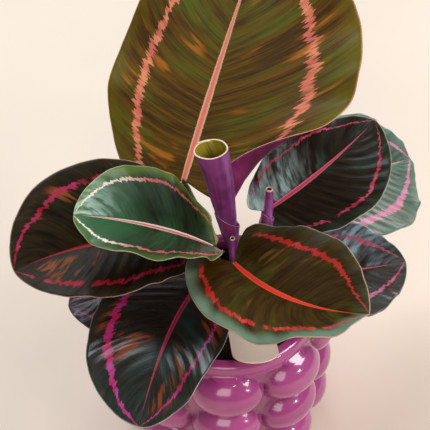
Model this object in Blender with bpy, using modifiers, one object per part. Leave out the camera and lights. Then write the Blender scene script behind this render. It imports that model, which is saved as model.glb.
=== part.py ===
"""Potted calathea: a patterned-leaf house plant in a bumpy glazed cover pot.

Metres, +Z up.  The flat base of the cover pot stands on z = 0 and the pot's
axis is the Z axis; the plant's front faces -Y.
"""
import math

import bmesh
import bpy
from mathutils import Vector

# ---------------------------------------------------------------- dimensions
GAP = 0.0003                # clearance between pieces that touch

POT_HEIGHT = 0.090
POT_LIP_RADIUS = 0.0450
POT_LIP_HEIGHT = 0.0060
POT_MOUTH_RADIUS = 0.0385
POT_BODY_RADIUS = 0.0460    # in the creases between the bumps
POT_FOOT_HEIGHT = 0.0060
POT_FLOOR = 0.0060
BUMP_HEIGHT = 0.0100
BUMP_COLUMNS = 8
BUMP_ROWS = 3
BUMP_PITCH = (POT_HEIGHT - POT_LIP_HEIGHT - POT_FOOT_HEIGHT) / BUMP_ROWS

INNER_POT_RIM_RADIUS = 0.0376
INNER_POT_BASE_RADIUS = 0.0300
INNER_POT_TOP = 0.0845
INNER_POT_WALL = 0.0009
DRAIN_HOLE_RADIUS = 0.0035
DRAIN_HOLE_COUNT = 5

SOIL_TOP = 0.0790
STEM_START = SOIL_TOP + GAP

LABEL_WIDTH = 0.0220
LABEL_LENGTH = 0.0360
LABEL_THICKNESS = 0.0005
LABEL_END = (0.013, -0.046, 0.095)
LABEL_SLOPE = 20.0          # degrees down towards the inside of the pot
LABEL_TURN = -5.0           # degrees about Z

BLADE_THICKNESS = 0.0007
BLADE_ROWS = 13
BLADE_COLUMNS = 5           # on each side of the midrib

VEIN_BOW = 0.35


class Leaf:
    """Design values of one leaf; lengths in metres, angles in degrees.

    heading is clockwise from +Y, pitch is up from level; turn, rise and twist
    are their changes from the base to the tip.  fold and curl lift the right
    and left halves, lobe_curl lifts the two lobes beside the stem from lobe_start
    outwards.  lobe and shoulder shape the base of the outline.
    """

    def __init__(self, name, base, heading, pitch, length, half_width, foot, **extra):
        self.name = name
        self.base = base
        self.heading = heading
        self.pitch = pitch
        self.length = length
        self.half_width = half_width
        self.foot = foot
        self.turn = 0.0
        self.rise = 0.0
        self.roll = 0.0
        self.twist = 0.0
        self.left_ratio = 1.0
        self.fold = (6.0, 6.0)
        self.curl = (0.0, 0.0)
        self.lobe_curl = (0.0, 0.0)
        self.lobe = 0.10
        self.lobe_start = 0.0
        self.middle = 0.46
        self.tip_power = 1.35
        self.shoulder = 28.0
        self.wave = 0.0008
        self.waves = 3.5
        self.stem_radius = 0.0013
        self.stem_bow = (0.0, 0.0, 0.0)
        for key, value in extra.items():
            setattr(self, key, value)
        self.right_lobe = extra.get("right_lobe", self.lobe)
        self.right_shoulder = extra.get("right_shoulder", self.shoulder)


LEAVES = [
    Leaf("leaf_back_large", (-0.022, 0.036, 0.136), 20, 35, 0.140, 0.074, (-0.001, 0.013),
         turn=5, rise=5, roll=10, twist=-5, left_ratio=0.80, fold=(5, 0), curl=(-5, 0),
         lobe_curl=(280, 0), lobe_start=0.023, lobe=0.05, right_lobe=0.04, middle=0.44,
         tip_power=1.2, shoulder=22, right_shoulder=48, wave=0.0015, stem_radius=0.0018,
         stem_bow=(0.000, 0.010, 0.0)),
    Leaf("leaf_right_upper", (0.019, 0.024, 0.126), 55, 10, 0.075, 0.035, (0.007, 0.012),
         turn=-5, rise=15, roll=-5, twist=-5, left_ratio=0.80, fold=(5, -5), lobe=0.04,
         shoulder=20, wave=0.0010),
    Leaf("leaf_right_far", (0.048, 0.048, 0.106), 40, -5, 0.090, 0.038, (0.012, 0.018),
         turn=10, rise=-15, roll=-15, twist=-20, fold=(5, 10), wave=0.0015,
         stem_bow=(-0.006, -0.003, 0.012)),
    Leaf("leaf_right_low", (0.028, 0.000, 0.110), 90, -10, 0.060, 0.030, (0.014, -0.001),
         turn=-10, rise=20, twist=-10, fold=(5, 5), curl=(0, -5), tip_power=1.3,
         wave=0.0010, lobe=0.06),
    Leaf("leaf_front_right", (0.003, -0.015, 0.130), 150, 10, 0.080, 0.034, (0.005, -0.006),
         turn=-30, rise=20, roll=-5, fold=(20, 20), curl=(-15, 0), lobe_curl=(5, 10),
         lobe=0.15, tip_power=1.3, shoulder=25, wave=0.0014, stem_bow=(0.005, 0.0, 0.0)),
    Leaf("leaf_front_drooping", (-0.010, -0.005, 0.111), -155, 20, 0.087, 0.038, (-0.004, -0.005),
         turn=-10, rise=-55, roll=-10, left_ratio=0.70, fold=(5, 5), curl=(0, -5),
         lobe_curl=(-15, 0), lobe=0.02, shoulder=15, tip_power=1.1, wave=0.0010),
    Leaf("leaf_left_young", (-0.007, -0.005, 0.131), -95, 35, 0.067, 0.031, (-0.002, -0.001),
         turn=5, rise=-30, roll=-10, twist=25, left_ratio=0.95, fold=(15, 20), lobe=0.01,
         tip_power=1.15, shoulder=15, wave=0.0010, stem_bow=(0.001, 0.004, 0.0)),
    Leaf("leaf_left_back", (-0.017, 0.007, 0.125), -100, 15, 0.086, 0.042, (-0.009, 0.005),
         turn=-15, rise=-25, twist=10, left_ratio=0.80, fold=(20, 5), curl=(5, 0),
         lobe=0.03, shoulder=20, tip_power=1.2, wave=0.0012),
    Leaf("leaf_left_low", (-0.021, -0.002, 0.103), -100, 0, 0.058, 0.025, (-0.010, -0.003),
         rise=-15, roll=10, fold=(5, 5), curl=(-5, -5), wave=0.0008),
]

ROLLED_LEAF_PATH = [
    (0.005, 0.005, STEM_START), (0.005, 0.005, 0.100), (0.003, 0.004, 0.119),
    (0.001, 0.002, 0.132), (-0.001, 0.001, 0.146), (-0.003, 0.000, 0.159),
    (-0.005, -0.001, 0.173), (-0.008, -0.001, 0.186)]
ROLLED_LEAF_RADII = [0.0014, 0.0015, 0.0020, 0.0035, 0.0050, 0.0060, 0.0068, 0.0078]
ROLLED_LEAF_WALL = 0.0009
ROLLED_LEAF_DEPTH = 3       # path points down from the top that are hollow

SMALL_SHOOT_PATH = [
    (0.013, 0.006, STEM_START), (0.015, 0.007, 0.105), (0.018, 0.008, 0.130),
    (0.019, 0.009, 0.142), (0.019, 0.010, 0.153)]
SMALL_SHOOT_RADII = [0.0014, 0.0016, 0.0024, 0.0023, 0.0018]

TINY_SHOOT_PATH = [
    (0.002, -0.002, STEM_START), (0.002, -0.003, 0.100), (0.002, -0.005, 0.118),
    (0.002, -0.006, 0.137)]
TINY_SHOOT_RADII = [0.0010, 0.0011, 0.0013, 0.0012]


# ------------------------------------------------------------------- helpers
def clear_scene():
    """Remove every object of the start-up scene."""
    for thing in list(bpy.data.objects):
        bpy.data.objects.remove(thing, do_unlink=True)


def make_collection(name, hidden=False):
    """A collection linked to the scene."""
    group = bpy.data.collections.new(name)
    bpy.context.scene.collection.children.link(group)
    group.hide_render = hidden
    return group


def make_material(name, colour, roughness, metallic=0.0):
    """A plain Principled material."""
    material = bpy.data.materials.new(name)
    material.use_nodes = True
    shader = material.node_tree.nodes["Principled BSDF"]
    shader.inputs["Base Color"].default_value = (*colour, 1.0)
    shader.inputs["Roughness"].default_value = roughness
    shader.inputs["Metallic"].default_value = metallic
    material.diffuse_color = (*colour, 1.0)
    return material


def mesh_object(name, bm, material, group, smooth_angle=50.0):
    """Finish a bmesh into a named, smooth-shaded object."""
    bmesh.ops.recalc_face_normals(bm, faces=bm.faces)
    mesh = bpy.data.meshes.new(name)
    bm.to_mesh(mesh)
    bm.free()
    mesh.shade_smooth()
    mesh.set_sharp_from_angle(angle=math.radians(smooth_angle))
    mesh.materials.append(material)
    thing = bpy.data.objects.new(name, mesh)
    group.objects.link(thing)
    return thing


def lathe(bm, profile, steps, radius_at=None):
    """Turn a closed (radius, z) profile about Z; axis points become poles."""
    rings = []
    for radius, z in profile:
        if radius < 1e-7:
            rings.append([bm.verts.new((0.0, 0.0, z))])
            continue
        ring = []
        for step in range(steps):
            angle = 2.0 * math.pi * step / steps
            r = radius_at(radius, z, angle) if radius_at else radius
            ring.append(bm.verts.new((r * math.sin(angle), -r * math.cos(angle), z)))
        rings.append(ring)
    for first, second in zip(rings, rings[1:]):
        for step in range(steps):
            after = (step + 1) % steps
            corners = [first[step % len(first)], first[after % len(first)],
                       second[after % len(second)], second[step % len(second)]]
            unique = list(dict.fromkeys(corners))
            bm.faces.new(unique)


def smooth_path(points, count):
    """Points along a Catmull-Rom curve through the given points."""
    knots = [Vector(p) for p in points]
    knots.insert(0, knots[0] * 2 - knots[1])
    knots.append(knots[-1] * 2 - knots[-2])
    out = []
    for index in range(count):
        place = index / (count - 1) * (len(knots) - 3)
        span = min(int(place), len(knots) - 4)
        t = place - span
        a, b, c, d = knots[span:span + 4]
        out.append(0.5 * (2 * b + (c - a) * t + (2 * a - 5 * b + 4 * c - d) * t * t
                          + (3 * b - a - 3 * c + d) * t ** 3))
    return out


def blend(values, place):
    """Linear interpolation in a list; place runs from 0 to 1."""
    spot = place * (len(values) - 1)
    index = min(int(spot), len(values) - 2)
    part = spot - index
    return values[index] * (1.0 - part) + values[index + 1] * part


def add_ring(bm, centre, axis, radius, sides):
    """One ring of vertices square to an axis."""
    axis = Vector((0.0, 0.0, 1.0)) if centre.z < STEM_START + 1e-6 else axis
    side = Vector((1.0, 0.0, 0.0))
    side = (side - axis * side.dot(axis)).normalized()
    up = axis.cross(side)
    ring = []
    for index in range(sides):
        angle = 2.0 * math.pi * index / sides
        spot = centre + (side * math.cos(angle) + up * math.sin(angle)) * radius
        ring.append(bm.verts.new(spot))
    return ring


def bridge(bm, rings):
    """Join successive rings with quads."""
    for first, second in zip(rings, rings[1:]):
        for index in range(len(first)):
            after = (index + 1) % len(first)
            bm.faces.new((first[index], first[after], second[after], second[index]))


def swept_solid(bm, path, radii, sides, bore=None, bore_from=1.0):
    """A round stem along a path, with an optional blind bore from its top end."""
    count = len(path)
    rings = []
    axes = []
    for index, centre in enumerate(path):
        ahead = path[min(index + 1, count - 1)]
        behind = path[max(index - 1, 0)]
        axes.append((ahead - behind).normalized())
    for index, centre in enumerate(path):
        rings.append(add_ring(bm, centre, axes[index], radii[index], sides))
    if bore is not None:
        for index in range(count - 1, -1, -1):
            if index / (count - 1) < bore_from:
                break
            rings.append(add_ring(bm, path[index], axes[index], radii[index] - bore, sides))
    bridge(bm, rings)
    bm.faces.new(rings[0][::-1])
    bm.faces.new(rings[-1])


# --------------------------------------------------------------- leaf shapes
def flat_point(leaf, along, across):
    """Leaf coordinates (0..1, -1..1) to flat (forward, sideways) metres."""
    start = math.radians(leaf.shoulder if across < 0 else leaf.right_shoulder)
    lobe = leaf.lobe if across < 0 else leaf.right_lobe
    theta = start + (math.pi - start) * along ** 0.92
    if theta < math.pi / 2:
        reach = (leaf.middle + lobe) * math.cos(theta) / math.cos(start)
        edge_x = leaf.middle - reach
        edge_y = math.sin(theta) ** 0.9
    else:
        edge_x = leaf.middle - (1.0 - leaf.middle) * math.cos(theta)
        edge_y = max(math.sin(theta), 0.0) ** leaf.tip_power
    width = leaf.half_width * (leaf.left_ratio if across < 0 else 1.0)
    edge_x *= leaf.length
    edge_y *= width
    rib_x = (0.94 * along + 0.06 * along * along) * leaf.length
    bow_x = rib_x + (edge_x - rib_x) * VEIN_BOW - 0.10 * leaf.length * (1.0 - along) ** 6
    bow_y = 0.62 * edge_y
    t = abs(across)
    x = (1 - t) ** 2 * rib_x + 2 * t * (1 - t) * bow_x + t * t * edge_x
    y = 2 * t * (1 - t) * bow_y + t * t * edge_y
    return x, math.copysign(y, across)


def leaf_frame(leaf, s):
    """Tangent, side and normal of the midrib at fraction s."""
    h = math.radians(leaf.heading + leaf.turn * s)
    p = math.radians(leaf.pitch + leaf.rise * s)
    r = math.radians(leaf.roll + leaf.twist * s)
    tangent = Vector((math.sin(h) * math.cos(p), math.cos(h) * math.cos(p), math.sin(p)))
    level = Vector((math.cos(h), -math.sin(h), 0.0))
    upright = level.cross(tangent)
    side = level * math.cos(r) + upright * math.sin(r)
    normal = upright * math.cos(r) - level * math.sin(r)
    return tangent, side, normal


def midrib_point(leaf, s):
    """Point of the midrib at fraction s, by summing short tangents."""
    steps = 24
    spot = Vector(leaf.base)
    for index in range(steps):
        tangent, _side, _normal = leaf_frame(leaf, s * (index + 0.5) / steps)
        spot += tangent * (leaf.length * s / steps)
    return spot


def leaf_point(leaf, along, across):
    """Point of the leaf's middle surface."""
    x, y = flat_point(leaf, along, across)
    s = x / leaf.length
    _tangent, side, normal = leaf_frame(leaf, s)
    hand = 0 if across >= 0 else 1
    near_base = min(max(1.0 - 2.2 * s, 0.0), 1.3) ** 2
    fold = math.radians(leaf.fold[hand])
    reach = abs(y)
    out = lift = 0.0
    curl = leaf.curl[hand]
    for rate, span in ((curl, min(reach, leaf.lobe_start)),
                       (curl + leaf.lobe_curl[hand] * near_base, reach - leaf.lobe_start)):
        if span > 0.0:
            bend = math.radians(rate) / leaf.half_width
            if abs(bend) < 1e-4:
                bend = 1e-4
            out += (math.sin(fold + bend * span) - math.sin(fold)) / bend
            lift += (math.cos(fold) - math.cos(fold + bend * span)) / bend
            fold += bend * span
    ripple = math.sin(2.0 * math.pi * leaf.waves * along + 1.7 * hand)
    lift += leaf.wave * abs(across) ** 3 * ripple * (1.0 - along ** 4)
    return midrib_point(leaf, s) + side * math.copysign(out, y) + normal * lift


def build_blade(leaf, material, group):
    """The blade: a shaped sheet made solid."""
    bm = bmesh.new()
    rows = []
    for i in range(BLADE_ROWS + 1):
        row = []
        for j in range(-BLADE_COLUMNS, BLADE_COLUMNS + 1):
            spot = leaf_point(leaf, i / BLADE_ROWS, j / BLADE_COLUMNS)
            row.append(bm.verts.new(spot))
        rows.append(row)
    for first, second in zip(rows, rows[1:]):
        for j in range(len(first) - 1):
            bm.faces.new((first[j], first[j + 1], second[j + 1], second[j]))
    bmesh.ops.remove_doubles(bm, verts=bm.verts, dist=1e-5)
    blade = mesh_object(leaf.name, bm, material, group)
    shell = blade.modifiers.new("thickness", "SOLIDIFY")
    shell.thickness = BLADE_THICKNESS
    shell.offset = 0.0
    shell.use_even_offset = False
    return blade


def build_stem(leaf, material, group):
    """The leaf stalk, from the soil to just under the blade."""
    tangent, _side, normal = leaf_frame(leaf, 0.0)
    top = Vector(leaf.base) - tangent * 0.0012 - normal * (leaf.stem_radius + 0.0004)
    foot = Vector((leaf.foot[0], leaf.foot[1], STEM_START))
    middle = foot.lerp(top, 0.5)
    middle += Vector(leaf.stem_bow)
    rise = foot + Vector((0.0, 0.0, 0.006))
    path = [foot] + smooth_path([rise, middle, top], 9)
    radii = [leaf.stem_radius * (1.15 - 0.3 * i / 9) for i in range(10)]
    bm = bmesh.new()
    swept_solid(bm, path, radii, 8)
    return mesh_object(leaf.name.replace("leaf_", "stalk_"), bm, material, group)


# ---------------------------------------------------------- pots, soil, label
def bumpy_radius(radius, z, angle):
    """Outer radius of the cover pot with its rows of domes."""
    low = POT_FOOT_HEIGHT
    high = POT_HEIGHT - POT_LIP_HEIGHT
    if radius < POT_BODY_RADIUS - 1e-6 or z <= low or z >= high:
        return radius
    column = angle / (2.0 * math.pi) * BUMP_COLUMNS
    u = (column - round(column)) * 2.0
    row = (high - z) / BUMP_PITCH
    v = (row - math.floor(row)) * 2.0 - 1.0
    reach = max(1.0 - u * u - v * v, 0.0)
    return radius + BUMP_HEIGHT * reach ** 0.6


def build_cover_pot(group):
    """The glazed cover pot with domes all round."""
    glaze = make_material("glaze", (0.52, 0.10, 0.36), 0.12)
    low = POT_FOOT_HEIGHT
    high = POT_HEIGHT - POT_LIP_HEIGHT
    profile = [(0.0, 0.0), (POT_BODY_RADIUS - 0.0035, 0.0), (POT_BODY_RADIUS - 0.0015, 0.0015),
               (POT_BODY_RADIUS - 0.0010, low - 0.001)]
    rows = 6 * BUMP_ROWS
    for index in range(rows + 1):
        profile.append((POT_BODY_RADIUS, low + (high - low) * index / rows))
    thick = POT_LIP_RADIUS - POT_MOUTH_RADIUS
    profile += [(POT_LIP_RADIUS, high + 0.001), (POT_LIP_RADIUS, POT_HEIGHT - 0.0022),
                (POT_LIP_RADIUS - 0.25 * thick, POT_HEIGHT - 0.0005),
                (POT_LIP_RADIUS - 0.5 * thick, POT_HEIGHT),
                (POT_LIP_RADIUS - 0.8 * thick, POT_HEIGHT - 0.0006),
                (POT_MOUTH_RADIUS, POT_HEIGHT - 0.0022),
                (POT_MOUTH_RADIUS, high), (POT_MOUTH_RADIUS + 0.0015, high - 0.003),
                (POT_MOUTH_RADIUS + 0.0010, POT_FLOOR + 0.004),
                (POT_MOUTH_RADIUS - 0.0030, POT_FLOOR), (0.0, POT_FLOOR)]
    bm = bmesh.new()
    lathe(bm, profile, 6 * BUMP_COLUMNS, bumpy_radius)
    return mesh_object("cover_pot", bm, glaze, group, 60.0)


def build_inner_pot(group, cutters):
    """The thin plastic nursery pot with drain holes in its floor."""
    plastic = make_material("black_plastic", (0.02, 0.02, 0.02), 0.45)
    base = POT_FLOOR + GAP
    wall = INNER_POT_WALL
    rim = INNER_POT_RIM_RADIUS
    foot = INNER_POT_BASE_RADIUS
    neck = rim - 0.0012
    profile = [(0.0, base), (foot, base), (neck, INNER_POT_TOP - 0.008),
               (rim, INNER_POT_TOP - 0.008), (rim, INNER_POT_TOP), (neck - wall, INNER_POT_TOP),
               (neck - wall, INNER_POT_TOP - 0.008), (foot - wall, base + wall), (0.0, base + wall)]
    bm = bmesh.new()
    lathe(bm, profile, 40)
    pot = mesh_object("nursery_pot", bm, plastic, group, 40.0)
    bm = bmesh.new()
    for index in range(DRAIN_HOLE_COUNT):
        angle = 2.0 * math.pi * index / DRAIN_HOLE_COUNT
        centre = Vector((0.017 * math.cos(angle), 0.017 * math.sin(angle), base))
        made = bmesh.ops.create_cone(bm, cap_ends=True, segments=12, radius1=DRAIN_HOLE_RADIUS,
                                     radius2=DRAIN_HOLE_RADIUS, depth=0.006)
        bmesh.ops.translate(bm, vec=centre, verts=made["verts"])
    drill = mesh_object("drain_hole_cutter", bm, plastic, cutters)
    drill.display_type = "WIRE"
    drill.hide_render = True
    holes = pot.modifiers.new("drain_holes", "BOOLEAN")
    holes.operation = "DIFFERENCE"
    holes.solver = "EXACT"
    holes.object = drill
    return pot


def build_soil(group):
    """The ball of potting soil that fills the nursery pot."""
    earth = make_material("soil", (0.035, 0.024, 0.016), 0.95)
    wall = INNER_POT_WALL
    low = POT_FLOOR + GAP + wall + GAP
    foot = INNER_POT_BASE_RADIUS - wall - 2 * GAP
    neck = INNER_POT_RIM_RADIUS - 0.0012 - wall - 2 * GAP
    profile = [(0.0, low), (foot, low), (neck - 0.0002, INNER_POT_TOP - 0.0085),
               (neck - 0.0012, SOIL_TOP - 0.0015), (0.030, SOIL_TOP - 0.0005),
               (0.022, SOIL_TOP), (0.0, SOIL_TOP)]
    bm = bmesh.new()
    lathe(bm, profile, 40)
    return mesh_object("potting_soil", bm, earth, group)


def build_label(group):
    """A blank card label that leans over the rim."""
    card = make_material("card", (0.78, 0.72, 0.62), 0.7)
    bm = bmesh.new()
    half = LABEL_WIDTH / 2
    outline = []
    for index in range(13):
        angle = math.pi * index / 12
        outline.append((half * math.cos(angle), -0.8 * half * math.sin(angle)))
    for index in range(7):
        angle = math.pi * (1 + index / 6)
        outline.append((half * math.cos(angle), LABEL_LENGTH - 1.25 * half
                        - 0.45 * half * math.sin(angle)))
    face = bm.faces.new([bm.verts.new((x, y, 0.0)) for x, y in outline])
    made = bmesh.ops.extrude_face_region(bm, geom=[face])
    lifted = [item for item in made["geom"] if isinstance(item, bmesh.types.BMVert)]
    bmesh.ops.translate(bm, vec=(0.0, 0.0, LABEL_THICKNESS), verts=lifted)
    label = mesh_object("plant_label", bm, card, group, 30.0)
    label.rotation_euler = (math.radians(-LABEL_SLOPE), 0.0, math.radians(-LABEL_TURN))
    spot = Vector(LABEL_END)
    label.location = spot + Vector((0.0, 0.8 * half, -0.8 * half * math.tan(0.36)))
    return label


# -------------------------------------------------------------------- shoots
def build_rolled_leaf(material, group):
    """The new leaf, still rolled up, open at its top."""
    count = 3 * (len(ROLLED_LEAF_PATH) - 1) + 1
    path = smooth_path(ROLLED_LEAF_PATH, count)
    radii = [blend(ROLLED_LEAF_RADII, i / (count - 1)) for i in range(count)]
    bm = bmesh.new()
    hollow_from = 1.0 - ROLLED_LEAF_DEPTH / (len(ROLLED_LEAF_PATH) - 1)
    swept_solid(bm, path, radii, 16, ROLLED_LEAF_WALL, hollow_from - 0.001)
    return mesh_object("rolled_leaf", bm, material, group)


def build_shoot(name, knots, radii, material, group):
    """A short closed shoot with a small open dimple at its tip."""
    count = 3 * (len(knots) - 1) + 1
    path = smooth_path(knots, count)
    sizes = [blend(radii, i / (count - 1)) for i in range(count)]
    bm = bmesh.new()
    swept_solid(bm, path, sizes, 10, sizes[-1] * 0.3, 1.0 - 1.1 / (count - 1))
    return mesh_object(name, bm, material, group)


def build_sheath(name, path, radii, wall, slant, material, group):
    """A sleeve round the foot of a shoot, cut off at a slant."""
    bm = bmesh.new()
    sides = 16
    rings = []
    for hand in (1, -1):
        order = range(len(path)) if hand > 0 else range(len(path) - 1, -1, -1)
        for index in order:
            ahead = path[min(index + 1, len(path) - 1)]
            behind = path[max(index - 1, 0)]
            axis = (ahead - behind).normalized()
            size = radii[index] + (wall if hand > 0 else 0.0)
            ring = add_ring(bm, path[index], axis, size, sides)
            share = (index / (len(path) - 1)) ** 3
            for number, vert in enumerate(ring):
                turn = 2.0 * math.pi * number / sides
                vert.co += axis * slant * share * math.cos(turn + 2.6)
            rings.append(ring)
    rings.append(rings[0])
    bridge(bm, rings)
    return mesh_object(name, bm, material, group)


def build_rolled_leaf_sheath(material, group):
    """The sheath that the rolled leaf comes out of."""
    count = 3 * (len(ROLLED_LEAF_PATH) - 1) + 1
    path = smooth_path(ROLLED_LEAF_PATH, count)
    first = 2
    last = 12
    radii = [blend(ROLLED_LEAF_RADII, i / (count - 1)) + 2 * GAP for i in range(first, last)]
    return build_sheath("rolled_leaf_sheath", path[first:last], radii, 0.0006, 0.004,
                        material, group)


def build_small_shoot_sheath(material, group):
    """The sheath round the foot of the small shoot."""
    count = 3 * (len(SMALL_SHOOT_PATH) - 1) + 1
    path = smooth_path(SMALL_SHOOT_PATH, count)
    radii = [blend(SMALL_SHOOT_RADII, i / (count - 1)) + 2 * GAP for i in range(1, 9)]
    return build_sheath("small_shoot_sheath", path[1:9], radii, 0.0005, 0.002, material, group)


def main():
    clear_scene()
    plant = make_collection("potted_calathea")
    cutters = make_collection("cutters", hidden=True)
    build_cover_pot(plant)
    build_inner_pot(plant, cutters)
    build_soil(plant)
    build_label(plant)
    dark_leaf = make_material("dark_leaf", (0.035, 0.045, 0.025), 0.3)
    young_leaf = make_material("young_leaf", (0.10, 0.20, 0.07), 0.3)
    olive_leaf = make_material("olive_leaf", (0.14, 0.10, 0.015), 0.35)
    stalk = make_material("stalk", (0.17, 0.09, 0.05), 0.5)
    purple = make_material("purple_shoot", (0.30, 0.05, 0.22), 0.35)
    for leaf in LEAVES:
        skin = dark_leaf
        if leaf.name == "leaf_left_young":
            skin = young_leaf
        if leaf.name in ("leaf_back_large", "leaf_front_right"):
            skin = olive_leaf
        build_blade(leaf, skin, plant)
        build_stem(leaf, stalk, plant)
    build_rolled_leaf(purple, plant)
    build_rolled_leaf_sheath(purple, plant)
    build_shoot("small_shoot", SMALL_SHOOT_PATH, SMALL_SHOOT_RADII, purple, plant)
    build_small_shoot_sheath(purple, plant)
    build_shoot("tiny_shoot", TINY_SHOOT_PATH, TINY_SHOOT_RADII, purple, plant)


main()
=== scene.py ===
"""Potted calathea: the finished look of the plant, its pots and its label.

Metres, +Z up, the pot's base on z = 0.  Each operator builds one group of
pieces in the model's own frame; the panel in the 3D view's sidebar lists them.
"""
import math
import random

import bpy
import numpy as np
from bpy.props import (FloatProperty, FloatVectorProperty, IntProperty,
                       PointerProperty)
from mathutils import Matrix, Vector, noise


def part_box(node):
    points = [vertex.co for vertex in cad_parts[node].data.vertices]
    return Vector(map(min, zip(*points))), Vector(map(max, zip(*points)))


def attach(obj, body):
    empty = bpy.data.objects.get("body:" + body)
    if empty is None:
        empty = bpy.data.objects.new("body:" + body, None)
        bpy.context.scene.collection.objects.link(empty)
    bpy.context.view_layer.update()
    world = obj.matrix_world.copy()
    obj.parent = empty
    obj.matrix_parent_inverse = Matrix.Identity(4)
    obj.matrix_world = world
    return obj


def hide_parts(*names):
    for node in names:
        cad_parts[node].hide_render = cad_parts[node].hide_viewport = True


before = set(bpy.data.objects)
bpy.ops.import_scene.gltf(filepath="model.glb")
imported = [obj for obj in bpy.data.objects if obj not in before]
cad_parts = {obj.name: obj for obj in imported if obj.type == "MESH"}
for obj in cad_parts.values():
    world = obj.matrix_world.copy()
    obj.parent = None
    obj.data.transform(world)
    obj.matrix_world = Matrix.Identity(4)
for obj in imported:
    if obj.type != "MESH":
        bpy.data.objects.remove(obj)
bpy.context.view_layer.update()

bl_info = {
    "name": "Potted calathea",
    "version": (1, 0, 0),
    "blender": (4, 5, 0),
    "location": "3D View > Sidebar > Calathea",
    "description": "Builds a patterned-leaf house plant in a bumpy glazed pot",
    "category": "Add Mesh",
}

SOIL_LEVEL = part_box("potting_soil")[1].z
MERGE_DISTANCE = 1e-6       # vertices closer than this become one
STEM_GAP = 0.0003           # stalks and shoots start this far above the soil
STEM_FOOT = SOIL_LEVEL + STEM_GAP
VEIN_BOW = 0.35             # how far the crosswise lines of a blade bend, as a share
VEIN_SWEEP = 0.15           # how far a side vein runs on to the tip, as a share
VEIN_PITCH = 0.0052         # spacing of the side veins along the midrib
RING_CENTRE = 0.42          # middle of a blade's rings, as a share of its length
POT_FOOT_HEIGHT = 0.006     # plain wall below the lowest row of domes
POT_LIP_HEIGHT = 0.006      # plain wall above the highest row
POT_FLOOR = 0.006           # top of the cover pot's floor
POT_FOOT_BASE = 0.0016      # underside of the cover pot inside its foot ring
NURSERY_BASE = 0.0063
NURSERY_WALL = 0.0009
NURSERY_FOOT_RADIUS = 0.0300
DRAIN_HOLES = 5
DRAIN_RADIUS = 0.0035
DRAIN_RING = 0.017          # how far the drain holes are from the pot's axis
SOIL_FOOT_RADIUS = 0.0285
SOIL_SHOULDER = 0.0775      # the soil is rough above this height
CHIP_SPREAD = 0.0325        # how far from the axis the bark chips lie
LABEL_WIDTH, LABEL_LENGTH, LABEL_THICKNESS = 0.0220, 0.0360, 0.0005
LABEL_END = (0.013, -0.046, 0.095)
LABEL_SLOPE, LABEL_TURN = 20.0, 5.0
SHEATH_RIM = (0.42, 0.20, 0.30)
ROLL_WALL, ROLL_SHEATH_WALL, SHOOT_SHEATH_WALL = 0.0007, 0.0003, 0.0004
CAMERA_PLACE = (-0.006, -0.295, 0.431)
CAMERA_LOOKS_DOWN = 44.0    # degrees below level
CAMERA_LENS, CAMERA_SENSOR = 75.0, 36.0
LIGHTS_AIM = (0.0, 0.0, 0.10)


# ------------------------------------------------------------ what a user sets
def length_setting(name, description, default, low, high):
    """A length in metres."""
    return FloatProperty(name=name, description=description, default=default,
                         min=low, max=high, unit="LENGTH")


def colour_setting(name, description, default):
    """A linear colour."""
    return FloatVectorProperty(name=name, description=description, default=default,
                               subtype="COLOR", min=0.0, max=1.0)


class CalatheaLeafSettings(bpy.types.PropertyGroup):
    """Sizes and colours shared by all the leaves."""

    columns: IntProperty(
        name="Columns", description="Faces across one half of a blade",
        default=24, min=6, max=60)
    rows: IntProperty(
        name="Rows", description="Faces from the base of a blade to its tip",
        default=150, min=30, max=300)
    ridge_pitch: length_setting(
        "Ridge pitch", "Spacing of the ribs that follow the side veins",
        VEIN_PITCH, 0.002, 0.02)
    ridge_height: length_setting(
        "Ridge height", "Height of the ribs that follow the side veins", 0.00024, 0.0, 0.001)
    edge_thickness: length_setting(
        "Edge thickness", "Thickness of the blade at its margin", 0.00028, 0.0001, 0.001)
    rib_thickness: length_setting(
        "Midrib thickness", "Thickness of the blade at its midrib", 0.0019, 0.0005, 0.004)
    underside: colour_setting(
        "Underside", "Colour of the underside of the blades", (0.27, 0.022, 0.13))
    stalk: colour_setting("Stalk", "Colour of the leaf stalks", (0.15, 0.075, 0.035))


class CalatheaShootSettings(bpy.types.PropertyGroup):
    """Colours of the rolled leaf and the young shoots."""

    skin: colour_setting("Skin", "Colour of the outside of the shoots", (0.27, 0.05, 0.235))
    streak: colour_setting(
        "Streaks", "Colour of the streaks that run along the shoots", (0.47, 0.02, 0.20))
    inside: colour_setting(
        "Inside", "Colour of the inside of the rolled leaf", (0.42, 0.34, 0.03))
    rim: colour_setting("Rim", "Colour of the edge of the rolled leaf", (0.80, 0.55, 0.38))


class CalatheaPotSettings(bpy.types.PropertyGroup):
    """Sizes and colours of the cover pot and what stands in it."""

    height: length_setting("Height", "Height of the cover pot", 0.090, 0.05, 0.2)
    body_radius: length_setting(
        "Body radius", "Radius of the cover pot in the creases", 0.0460, 0.03, 0.1)
    lip_radius: length_setting("Lip radius", "Outer radius of the lip", 0.0450, 0.03, 0.1)
    mouth_radius: length_setting("Mouth radius", "Inner radius of the lip", 0.0385, 0.02, 0.1)
    bump_height: length_setting("Dome height", "How far the domes stand out", 0.0100, 0.0, 0.02)
    bump_columns: IntProperty(
        name="Domes round", description="Domes in one row round the pot",
        default=8, min=3, max=24)
    bump_rows: IntProperty(
        name="Rows of domes", description="Rows of domes up the pot",
        default=3, min=1, max=8)
    glaze: colour_setting("Glaze", "Colour of the glaze on the domes", (0.37, 0.046, 0.205))
    # painted shade on the glaze (creases, foot band, inside); also the colour of its dark specks
    glaze_deep: colour_setting(
        "Deep glaze", "Colour of the glaze where it has run thick", (0.16, 0.014, 0.072))
    card: colour_setting("Card", "Colour of the blank label", (0.90, 0.78, 0.60))


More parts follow.
